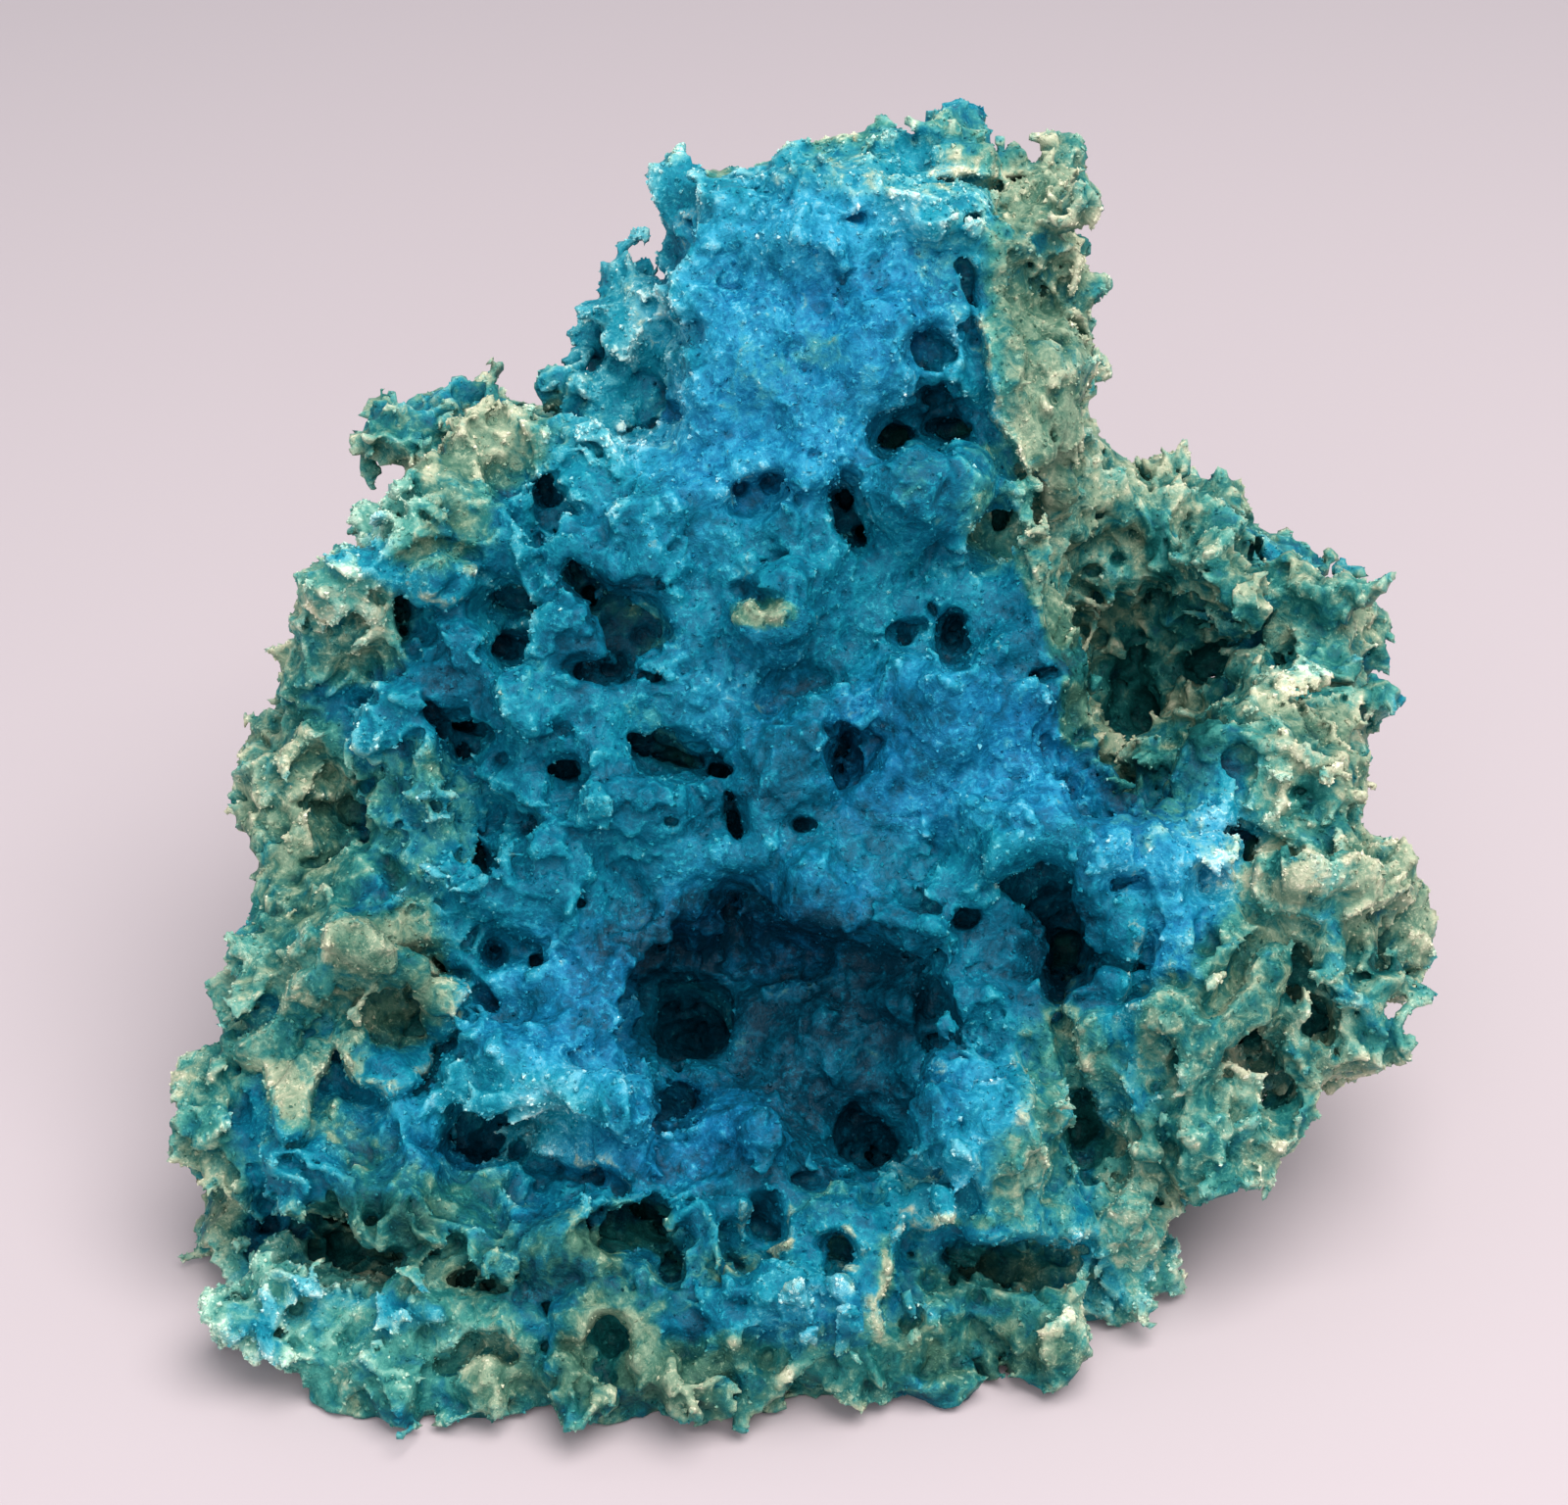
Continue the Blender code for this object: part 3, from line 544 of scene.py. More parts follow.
def near_lips(across, up):
    """1 at the lips, fading to 0 a little way off."""
    total = np.zeros(len(across), np.float32)
    for _, _, places in LIPS:
        for start, end in zip(np.array(places[:-1], float), np.array(places[1:], float)):
            run = end - start
            along = ((across - start[0]) * run[0] + (up - start[1]) * run[1]) / (run @ run)
            along = np.clip(along, 0, 1)
            away = np.hypot(across - start[0] - along * run[0], up - start[1] - along * run[1])
            total = np.maximum(total, ramp(-away, -2.0, -0.8))
    return total


def on_map(rule, zones, across, up):
    """What the rule makes of the zones at each place, read from a map that is drawn only once."""
    key = (rule.__name__, id(zones))
    line = np.arange(-MAP_REACH, MAP_REACH, MAP_STEP)
    if key not in MAPS:
        grid = [places.ravel() for places in np.meshgrid(line, line, indexing="ij")]
        MAPS[key] = rule(zones, *grid).reshape(len(line), len(line)).astype(np.float32)
    i = np.clip(((across + MAP_REACH) / MAP_STEP).astype(int), 0, len(line) - 1)
    j = np.clip(((up + MAP_REACH) / MAP_STEP).astype(int), 0, len(line) - 1)
    return MAPS[key][i, j]


def calmness(zones, across, up):
    """How smooth the skin is: as the zones say, and nearly as smooth beside the lips."""
    return np.maximum(spread(zones, across, up), 0.75 * near_lips(across, up))


# The relief, in mm: how far it reaches, how wide and how high its flat flakes lie and how steep their edges
# are, the sizes of its crags, and the spacing and the radii of its pores.
RELIEF_REACH = 1.9
FLAKE_SIZE, FLAKE_STEP, FLAKE_EDGE = 4.4, 0.5, 4.0
LARGE_CRAGS, SMALL_CRAGS, FINE_CRAGS = 3.1, 1.6, 0.9
PORE_SPACING, SMALLEST_PORE, LARGEST_PORE = 2.6, 0.2, 0.95


def relief(field):
    """Works flakes, crags, pores and a granular roughness into the skin."""
    field.value = blur(field.value, 3)
    flat, points = field.near(RELIEF_REACH)
    across, up, out = to_face(points)
    calm = on_map(calmness, CALM, across, up) * ramp(out, -24, -16)
    outer = ramp(np.hypot(across / 26, (up + 2) / 36), 0.55, 0.95)
    spongy = (0.7 + 0.6 * outer) * (1 - 0.8 * calm)
    points = warped(points, 2.8, 1.0, 10)
    height = (0.9 + 0.4 * outer) * fractal(points, FLAKE_SIZE, 4, 20)
    shrink = 0.25 + 0.6 * outer * ramp(up, -34, -26) * ramp(-up, -36, -30)
    change = shrink - terraced(height, FLAKE_STEP, FLAKE_EDGE) * (1 - 0.6 * calm)
    change -= 0.5 * ridges(points, LARGE_CRAGS, 40) * spongy
    change -= (0.22 + 0.2 * outer) * ridges(points, SMALL_CRAGS, 41) * spongy
    change -= 0.11 * ridges(points, FINE_CRAGS, 42)
    holes = pores(warped(points, 1.5, 0.5, 61), PORE_SPACING, SMALLEST_PORE, LARGEST_PORE, 60)
    patch = noise(points, 7.0, 50)
    holes -= 0.5 * ramp(patch, -0.4, 0.3) + 0.5 * calm + 0.4 * ramp(out, -14, -6)
    # The underside, which is out of sight, is only a little uneven.
    index = np.stack(np.unravel_index(flat, field.value.shape), axis=1)
    height_above = field.place(index)[:, 2]
    off_foot = 0.35 + 0.65 * ramp(height_above, 0.1, 0.7)
    value = field.value.ravel()
    value[flat] += change * off_foot
    value[flat] = np.maximum(value[flat], holes * off_foot - 2 * (1 - off_foot))
    field.value += 0.3 * (field.value - blur(field.value.copy(), 2))


def view_frame(place, turn):
    """The directions of a hole: along its width and its height, and away from the camera."""
    away = place - (FACE_CENTRE + CAMERA_BACK * OUT)
    away /= np.linalg.norm(away)
    side = np.cross(away, UP)
    side /= np.linalg.norm(side)
    rise = np.cross(side, away)
    c, s = math.cos(math.radians(turn)), math.sin(math.radians(turn))
    return np.stack([c * side + s * rise, c * rise - s * side, away], axis=1)


def stamp_in_space(field, lumps, hollow, ragged):
    """Stamps each lump at the place that the list gives, whether or not the skin is there."""
    for across, up, out, half_width, half_height, half_depth in lumps:
        place = from_face(*(np.array([float(value)]) for value in (across, up, out)))[0]
        half = np.array((half_width, half_height, half_depth))
        field.stamp(place, half, view_frame(place, 0), hollow, 0.6, ragged, False)


def swell(field):
    """Lays the swells and the knobs on the stone, and sinks the pits and the bowls."""
    for across, up, inward, half_width, half_height, half_depth, turn in SWELLS:
        place, found = field.on_skin(across, up)
        if found[0]:
            frame_of_swell = view_frame(place[0], turn)
            half = np.array((half_width, half_height, half_depth))
            centre = place[0] + inward * frame_of_swell[:, 2]
            field.stamp(centre, half, frame_of_swell, False, 0.9, 0.5, False)
    stamp_in_space(field, KNOBS, False, 0.5)
    stamp_in_space(field, PITS, True, 0.35)
    for across, up, half_width, half_height, depth, turn in BOWLS:
        place, found = field.on_skin(across, up)
        if found[0]:
            half = np.array((half_width, half_height, depth))
            field.stamp(place[0], half, view_frame(place[0], turn), True, 0.4, 0.5, False)


def drive_holes(field):
    """Sinks each deep hole straight back from where it is seen."""
    for across, up, half_width, half_height, depth, turn in HOLES:
        place, found = field.on_skin(across, up)
        if not found[0]:
            continue
        frame_of_hole = view_frame(place[0], turn)
        start = place[0] - 0.5 * frame_of_hole[:, 2]
        ragged = min(0.65, 0.62 * min(half_width, half_height))
        half = np.array((half_width, half_height, depth))
        field.stamp(start, half, frame_of_hole, True, 0.12, ragged)


def raise_lips(field):
    """Lays each lip of the list on the skin: a ditch, a terrace beside it, and a thin upright edge between."""
    rng = np.random.default_rng(3)
    for half_thickness, side, places in LIPS:
        places = np.array(places, float)
        runs = np.diff(places, axis=0)
        along = np.concatenate([[0], np.cumsum(np.linalg.norm(runs, axis=1))])
        at = np.arange(0, along[-1], LIP_STEP)
        across = np.interp(at, along, places[:, 0])
        up = np.interp(at, along, places[:, 1])
        wander = np.stack([across, up, 0 * up], axis=1).astype(np.float32)
        across, up = across + 0.55 * noise(wander, 1.3, 96), up + 0.55 * noise(wander, 1.3, 97)
        skin, found = field.on_skin(across, up)
        strength = 1 + 0.7 * noise(skin.astype(np.float32), 2.2, 95)
        angle = np.degrees(np.arctan2(np.gradient(up), np.gradient(across)))
        chain = [
            (place, strong, view_frame(place, turn + rng.uniform(-12, 12)), rng.uniform(0.8, 1.2))
            for place, strong, turn in zip(skin[found], strength[found], angle[found])
        ]
        for place, strong, blade, _ in chain:
            ditch = place + (0.1 * blade[:, 2] - 0.85 * side * blade[:, 1])
            field.stamp(ditch, np.array((0.6, 0.75, 1.1 * strong)), blade, True, 0.3, 0.2, False)
        for place, strong, blade, _ in chain:
            terrace = place + (0.3 * blade[:, 2] + 0.8 * side * blade[:, 1])
            field.stamp(terrace, np.array((0.6, 1.0, 0.8 * strong)), blade, False, 0.4, 0.2, False)
        for place, strong, blade, height in chain:
            if strong > 0.7:
                size = np.array((0.5, half_thickness, 1.1 * strong * height))
                field.stamp(place, size, blade, False, 0.12, 0.12)


LEAST_SHELL = 400  # a shell that a seam cuts off is kept if it has more points than this


def main_shell(points, faces, at_seam):
    """Drops the loose crumbs: every shell but the largest and those that a seam cut off."""
    label = np.arange(len(points))
    edges = np.concatenate([faces[:, [i, (i + 1) % faces.shape[1]]] for i in range(faces.shape[1])])
    while True:
        before = label.copy()
        low = np.minimum(label[edges[:, 0]], label[edges[:, 1]])
        np.minimum.at(label, edges[:, 0], low)
        np.minimum.at(label, edges[:, 1], low)
        while (label != label[label]).any():
            label = label[label]
        if (label == before).all():
            break
    size = np.bincount(label, minlength=len(points))
    seamed = np.bincount(label, weights=at_seam, minlength=len(points)) > 0
    keep_label = seamed & (size > LEAST_SHELL)
    keep_label[size.argmax()] = True
    kept = keep_label[label]
    number = np.cumsum(kept) - 1
    return points[kept], number[faces[kept[faces[:, 0]]]]


def skin_of(field, within):
    """(points, faces) of the main skin of the part of the stone where within is below 0."""
    value = np.clip(np.maximum(field.value, within), -BAND, BAND).astype(np.float32)
    grid = openvdb.FloatGrid()
    grid.background = BAND
    grid.copyFromArray(value, ijk=tuple(int(i) for i in field.low))
    grid.transform = openvdb.createLinearTransform(GRID)
    points, quads = grid.convertToQuads(isovalue=0.0)
    points = np.asarray(points, np.float32)
    quads = np.asarray(quads, np.int64)[:, ::-1]
    at_seam = np.abs(field.at(points, within)) < 0.1
    return main_shell(points, quads, at_seam)


def mesh_of(name, points, faces):
    mesh = bpy.data.meshes.new(name)
    mesh.vertices.add(len(points))
    mesh.vertices.foreach_set("co", (points / 1000).astype(np.float32).ravel())
    sides = faces.shape[1]
    mesh.loops.add(faces.size)
    mesh.loops.foreach_set("vertex_index", faces.astype(np.int32).ravel())
    mesh.polygons.add(len(faces))
    mesh.polygons.foreach_set("loop_start", np.arange(0, faces.size, sides, dtype=np.int32))
    mesh.polygons.foreach_set("use_smooth", np.ones(len(faces), bool))
    mesh.update(calc_edges=True)
    return mesh


def object_of(name, mesh):
    obj = bpy.data.objects.new(name, mesh)
    bpy.context.scene.collection.objects.link(obj)
    return obj


def thin(obj, triangles):
    obj.data.calc_loop_triangles()
    modifier = obj.modifiers.new("thin", "DECIMATE")
    modifier.ratio = min(1, triangles / len(obj.data.loop_triangles))
    bpy.context.view_layer.update()
    graph = bpy.context.evaluated_depsgraph_get()
    mesh = bpy.data.meshes.new_from_object(obj.evaluated_get(graph))
    obj.modifiers.clear()
    obj.data = mesh


def points_of(mesh):
    points = np.empty(len(mesh.vertices) * 3, np.float32)
    mesh.vertices.foreach_get("co", points)
    return points.reshape(-1, 3) * 1000


def set_attribute(mesh, name, values):
    attribute = mesh.attributes.new(name, "FLOAT", "POINT")
    attribute.data.foreach_set("value", values.astype(np.float32))


# ---------------------------------------------------------------- colour


def linear(r, g, b):
    """A colour given as sRGB from 0 to 255."""
    parts = (value / 255 for value in (r, g, b))
    return tuple(((c + 0.055) / 1.055) ** 2.4 if c > 0.0404 else c / 12.92 for c in parts) + (1,)


# Each colour of the stone from the painted shade of its hollows to its sugary crests, as (place on the scale,
# colour).
AZURE = [
    (0.0, (2, 42, 68)),
    (0.3, (8, 90, 129)),
    (0.55, (36, 135, 165)),
    (0.8, (104, 169, 187)),
    (1.0, (188, 216, 218)),
]
TEAL = [
    (0.0, (2, 42, 58)),
    (0.3, (4, 84, 108)),
    (0.55, (16, 120, 138)),
    (0.8, (82, 160, 170)),
    (1.0, (184, 214, 208)),
]
GREEN = [
    (0.0, (4, 48, 48)),
    (0.3, (22, 88, 86)),
    (0.55, (60, 126, 116)),
    (0.8, (120, 164, 148)),
    (1.0, (186, 208, 188)),
]
CRUST = [
    (0.0, (8, 50, 46)),
    (0.3, (60, 98, 82)),
    (0.55, (122, 140, 117)),
    (0.8, (176, 176, 149)),
    (1.0, (218, 214, 190)),
]

# Where each colour lies on the show face: (across, up, half width, half height, strength).
CRUSTED = [
    (16.5, 30.0, 3.6, 11.0, 1.0),
    (17.5, 38.5, 2.2, 2.2, 1.0),
    (6.0, 37.0, 9.0, 2.6, 0.3),
    (10.5, 32.5, 3.5, 5.0, 0.25),
    (17.5, 20.0, 3.0, 6.0, 1.0),
    (22.0, 17.0, 4.5, 3.0, 1.3),
    (16.6, 13.0, 2.0, 3.8, 0.9),
    (17.6, 8.5, 1.3, 3.0, 0.9),
    (18.5, 2.5, 1.3, 2.6, 0.8),
    (24.0, 15.5, 8.0, 5.0, 1.3),
    (33.0, 9.0, 6.0, 5.0, 1.15),
    (38.5, -8.0, 4.0, 9.0, 1.0),
    (31.0, -14.0, 5.0, 5.0, 0.7),
    (18.0, -21.0, 3.5, 6.0, 0.45),
    (22.5, -28.0, 4.0, 6.0, 0.55),
    (32.0, -8.0, 3.2, 3.0, 0.9),
    (24.7, -17.5, 2.6, 3.0, 0.6),
    (28.0, 9.0, 5.0, 4.0, 0.6),
    (36.5, 0.0, 3.0, 4.5, 1.1),
    (30.0, -19.0, 5.0, 5.0, 0.65),
    (-27.0, -38.5, 7.0, 4.0, 0.65),
    (-26.8, -12.4, 2.6, 2.0, 1.4),
    (-31.4, -21.6, 1.0, 2.3, 1.2),
    (13.0, -29.7, 5.0, 0.5, 0.5),
    (6.3, -33.2, 0.5, 2.4, 0.9),
    (13.0, -33.4, 4.8, 1.9, 0.6),
    (-19.0, -39.2, 2.2, 1.8, 1.1),
    (-11.3, -38.0, 2.0, 2.6, 1.1),
    (16.0, -27.5, 4.0, 4.0, 0.5),
    (-14.0, -33.0, 14.0, 4.0, 0.38),
    (34.5, 3.5, 4.0, 4.0, 1.1),
    (34.0, -20.0, 4.0, 5.0, 0.8),
    (13.5, -33.5, 6.5, 2.4, 0.45),
    (13.0, -38.0, 8.0, 2.4, 0.75),
    (-4.5, -40.0, 5.5, 3.0, 0.9),
    (-11.5, -38.5, 3.2, 4.2, 1.0),
    (-18.5, -39.0, 3.2, 3.0, 0.9),
    (-26.5, -31.0, 5.0, 4.0, 0.6),
    (-37.0, -30.0, 3.0, 7.0, 0.8),
    (-25.0, -14.5, 4.2, 4.4, 0.8),
    (-31.2, -20.5, 1.6, 3.6, 0.6),
    (-31.5, -4.0, 4.5, 9.0, 0.8),
    (-28.5, 8.0, 4.5, 4.2, 0.7),
    (-22.5, 15.5, 4.2, 4.2, 0.8),
    (-21.5, 20.5, 6.5, 4.2, 1.0),
    (-1.3, 8.7, 2.2, 0.9, 1.0),
    (-12.0, -31.2, 2.0, 1.0, 1.0),
]
BRIGHT = [
    (2.0, 29.0, 10.0, 9.0, 1.0),
    (-2.0, 20.0, 9.0, 6.0, 0.9),
    (-2.0, 4.0, 6.0, 5.0, 0.6),
    (9.0, 0.0, 8.0, 6.5, 0.9),
    (16.0, -1.0, 6.0, 5.0, 1.0),
    (24.0, -6.0, 6.0, 4.0, 1.0),
    (26.0, -12.5, 4.0, 4.0, 0.9),
    (-14.0, -17.0, 7.0, 7.0, 0.9),
    (-1.0, -10.0, 9.0, 5.0, 0.7),
    (-9.0, -24.0, 9.0, 4.0, 0.8),
    (12.0, -24.0, 4.5, 6.0, 0.7),
    (-24.0, -25.5, 6.0, 4.5, 0.7),
    (-9.0, 14.0, 7.0, 4.0, 0.5),
    (3.0, -36.0, 6.0, 3.0, 0.6),
    (-17.0, -31.0, 4.0, 3.0, 0.6),
]
# Where the stone is painted lighter or darker than elsewhere, in the same way; these add up. Most are painted
# light and shade: paler where lumps and ledges catch the light, painted shade in hollows, gaps and low down;
# some are the stone's own paler and darker patches.
PAINTED_LIGHT_AND_TONES = [
    (-25.0, 2.0, 5.0, 6.0, -0.12),
    (15.0, 5.0, 3.0, 5.0, -0.12),
    (-6.0, -2.0, 6.0, 3.0, -0.10),
    (-28.0, -7.5, 3.5, 4.0, -0.12),
    (-10.0, -17.0, 5.0, 6.0, -0.08),
    (9.0, -20.0, 2.5, 5.0, -0.08),
    (-3.0, -27.5, 8.0, 3.0, -0.12),
    (-17.5, -31.0, 6.0, 4.0, -0.15),
    (-22.5, -27.0, 4.0, 3.0, -0.10),
    (12.0, -39.5, 6.0, 3.0, -0.12),
    (9.5, 17.0, 3.5, 4.0, -0.12),
    (-22.0, 17.0, 4.0, 3.0, -0.06),
    (0.0, 35.0, 9.0, 4.5, 0.18),
    (10.0, 36.0, 4.0, 4.5, 0.12),
    (-10.0, 25.0, 4.0, 6.0, 0.16),
    (28.0, -4.0, 5.0, 5.0, 0.18),
    (32.0, -8.5, 6.0, 3.5, 0.10),
    (19.5, -31.0, 5.0, 4.5, 0.12),
    (-22.5, -14.0, 3.5, 3.5, 0.10),
    (29.0, 4.5, 4.0, 3.5, 0.12),
    (-28.0, 10.5, 4.0, 3.5, 0.10),
    (0.0, -20.0, 6.0, 6.0, -0.06),
    (23.0, 5.5, 4.5, 7.5, -0.10),
    (-13.0, 21.0, 5.0, 5.0, 0.15),
    (-9.0, 29.0, 3.0, 3.0, 0.08),
    (-3.0, 29.0, 4.0, 4.0, 0.06),
    (10.0, 35.0, 5.0, 4.5, 0.08),
    (-28.0, 10.0, 4.0, 4.0, 0.06),
    (-9.0, 11.0, 3.0, 3.0, 0.07),
    (-28.0, -14.0, 3.5, 3.5, 0.07),
    (22.0, -21.0, 3.0, 4.5, 0.10),
    (9.5, -27.0, 3.5, 3.0, 0.12),
    (15.5, -8.0, 3.0, 3.0, 0.08),
    (-28.0, -36.0, 5.0, 5.0, 0.08),
    (39.0, -8.0, 4.0, 4.0, 0.08),
    (21.0, -33.0, 4.0, 3.0, 0.06),
    (-12.0, -33.0, 5.0, 3.0, -0.10),
    (28.0, -14.0, 3.0, 3.0, -0.08),
    (-22.0, 4.0, 3.0, 3.0, -0.08),
    (-26.8, -12.3, 2.4, 1.7, 0.02),  # hood, the painted shade in the hollow under it, and its leg
    (-24.3, -16.0, 2.6, 1.8, -0.15),
    (-24.6, -13.2, 2.2, 1.6, -0.12),
    (22.0, 0.0, 2.2, 4.0, -0.20),
    (-31.4, -21.5, 0.9, 2.2, 0.14),
    (13.2, -24.0, 2.8, 3.6, 0.15),  # nose, and the painted shade in the gap beside it
    (18.8, -24.0, 0.9, 2.6, -0.15),
    (-12.5, -21.3, 2.9, 1.6, 0.14),  # pale flap, and the shade under it
    (-11.0, -26.8, 3.6, 0.8, -0.14),
    (-1.7, -24.4, 0.9, 1.7, 0.12),
    (13.0, -29.5, 5.0, 0.5, 0.08),  # ledge over the niche
    (13.0, -33.2, 4.6, 1.6, -0.04),
    (10.0, -3.5, 4.0, 4.0, 0.07),
    (20.0, -33.0, 3.0, 3.0, 0.10),
    (24.0, 9.0, 4.5, 5.5, 0.06),
    (-3.0, 31.0, 6.0, 4.0, -0.04),
    (6.3, -33.2, 0.5, 2.4, 0.16),
    (0.3, -34.3, 3.0, 1.8, 0.14),
    (-17.8, -34.2, 2.2, 1.1, -0.08),
    (-27.0, -30.6, 3.6, 1.7, -0.10),
]
# Where it lies in shade. Of these the strongest counts.
SHADED = [
    (1.0, -17.5, 8.0, 8.5, 0.24),
    (-3.0, -12.0, 8.0, 3.0, 0.35),
    (4.0, -1.5, 7.0, 5.0, 0.12),
    (13.0, -33.0, 7.0, 2.6, 0.14),
    (-27.0, -30.5, 5.5, 2.6, 0.2),
    (0.0, -41.0, 34.0, 4.0, 0.12),
    (-19.2, -23.2, 2.0, 1.8, 0.2),
    (24.0, 4.0, 5.5, 8.5, 0.25),
    (17.0, -12.0, 3.0, 4.5, 0.3),
    (-11.0, 7.0, 4.0, 3.5, 0.2),
]
# Behind the edges of the face, the crust stays off these.
BLUE_FLANK = [
    (-10.0, 27.5, 4.5, 6.0, 0.9),
    (-9.5, 34.0, 3.0, 4.0, 0.7),
    (-24.0, -40.0, 9.0, 4.0, 0.5),
    (-33.0, -25.5, 4.5, 4.0, 0.7),
    (-2.0, -18.0, 11.0, 9.0, 1.0),
]
# Green hollows.
GREENED = [
    (23.5, 6.0, 6.0, 10.5, 1.0),
    (13.5, -33.5, 6.5, 2.6, 0.8),
    (-27.0, -30.6, 5.5, 3.0, 0.8),
    (-9.8, -29.7, 3.5, 1.6, 0.7),
    (-28.5, -6.0, 4.0, 5.0, 0.5),
    (8.0, 17.5, 1.8, 2.5, 0.4),
    (28.5, -18.0, 3.0, 3.0, 0.6),
]
CYAN = [
    (-25.5, 15.2, 2.6, 2.0, 1.0),
    (34.0, 6.8, 2.4, 2.0, 1.0),
    (-33.0, -37.0, 6.0, 5.0, 0.65),
    (-24.0, -38.0, 5.0, 3.0, 0.5),
    (-17.0, -22.5, 5.0, 3.0, 0.8),
    (-27.0, 2.0, 3.0, 3.0, 0.5),
]


def stone_material():
    material = bpy.data.materials.new("chalcanthite")
    material.use_nodes = True
    nodes, links = material.node_tree.nodes, material.node_tree.links
    shader = nodes["Principled BSDF"]
    coordinates = nodes.new("ShaderNodeTexCoord").outputs["Object"]

    def put(value, spot):
        if isinstance(value, (int, float, tuple)):
            spot.default_value = value
        else:
            links.new(value, spot)

    def attribute(name):
        node = nodes.new("ShaderNodeAttribute")
        node.attribute_name = name
        return node.outputs["Fac"]

    def mix(factor, a, b):
        node = nodes.new("ShaderNodeMix")
        node.data_type = "RGBA"
        for socket, value in (("Factor", factor), ("A", a), ("B", b)):
            put(value, [s for s in node.inputs if s.name == socket and s.enabled][0])
        return [s for s in node.outputs if s.enabled][0]

    def noise_texture(size_mm, detail, distortion=0.0, roughness=0.6):
        node = nodes.new("ShaderNodeTexNoise")
        node.inputs["Scale"].default_value = 1000 / size_mm
        node.inputs["Detail"].default_value = detail
        node.inputs["Roughness"].default_value = roughness
        node.inputs["Distortion"].default_value = distortion
        links.new(coordinates, node.inputs["Vector"])
        return node.outputs["Fac"]

    def calc(operation, a, b=0.0, clamp=False):
        node = nodes.new("ShaderNodeMath")
        node.operation = operation
        node.use_clamp = clamp
        for spot, value in zip(node.inputs, (a, b)):
            put(value, spot)
        return node.outputs[0]

    def scale(stops, value):
        node = nodes.new("ShaderNodeValToRGB")
        ramp_of = node.color_ramp
        while len(ramp_of.elements) < len(stops):
            ramp_of.elements.new(0.5)
        for element, (at, colour) in zip(ramp_of.elements, stops):
            element.position = at
            element.color = linear(*colour)
        links.new(value, node.inputs["Fac"])
        return node.outputs["Color"]

    def swing(value, reach):
        """The noise, moved to lie about 0 and scaled."""
        return calc("MULTIPLY", calc("SUBTRACT", value, 0.5), reach)

    def above(value, level, sharpness):
        """1 where the value is over the level, with a crisp edge."""
        return calc("MULTIPLY", calc("SUBTRACT", value, level), sharpness, clamp=True)

    patches = noise_texture(3.5, 3, 0.4)
    flakes = noise_texture(1.1, 4, 0.5, 0.6)
    crumbs = noise_texture(0.34, 2, 0.3)
    clusters = above(noise_texture(2.3, 3, 0.5), 0.47, 8)
    # The flakes lie in steps, and each step has a thin pale rim.
    level = calc("MULTIPLY", flakes, 15)
    within_step = calc("FRACT", level)
    steps = calc("DIVIDE", calc("FLOOR", level), 15)
    rims = calc("SUBTRACT", 1.0, calc("MULTIPLY", within_step, 5.0), clamp=True)
    flecks = above(crumbs, 0.56, 14)

    # The light value from the skin, with its painted shade and highlights, picks the place on each colour's
    # scale.
    light = calc("ADD", attribute("light"), swing(patches, 0.42))
    light = calc("ADD", light, swing(calc("ADD", steps, 0.033), 0.7))
    light = calc("ADD", light, swing(crumbs, 0.25))
    # Pale sugar: frosty flecks and step rims, partly painted glints where the frost catches the light.
    sugar_and_glints = calc("ADD", calc("MULTIPLY", flecks, 0.16), calc("MULTIPLY", rims, 0.2))
    sugar_and_glints = calc("MULTIPLY", sugar_and_glints, calc("ADD", calc("MULTIPLY", clusters, 0.65), 0.35))
    light = calc("ADD", light, sugar_and_glints, clamp=True)

    def edge(mask, reach, sharpness):
        """The mask with an edge that the noise breaks up."""
        moved = calc("ADD", calc("ADD", mask, swing(patches, reach)), swing(flakes, reach))
        return calc("MULTIPLY", calc("SUBTRACT", moved, 0.35), sharpness, clamp=True)

    colour = mix(edge(attribute("bright"), 1.3, 1.5), scale(TEAL, light), scale(AZURE, light))
    colour = mix(edge(attribute("green"), 1.3, 2.0), colour, scale(GREEN, light))
    colour = mix(edge(attribute("crust"), 1.5, 2.4), colour, scale(CRUST, light))
    links.new(colour, shader.inputs["Base Color"])
    shader.inputs["Roughness"].default_value = 0.45
    shader.inputs["Specular IOR Level"].default_value = 0.08
    bump = nodes.new("ShaderNodeBump")
    bump.inputs["Strength"].default_value = 1.0
    bump.inputs["Distance"].default_value = 0.0002
    height = calc("ADD", calc("MULTIPLY", flakes, 0.8), calc("MULTIPLY", crumbs, 0.5))
    links.new(calc("ADD", height, calc("MULTIPLY", steps, 0.5)), bump.inputs["Height"])
    links.new(bump.outputs["Normal"], shader.inputs["Normal"])
    return material


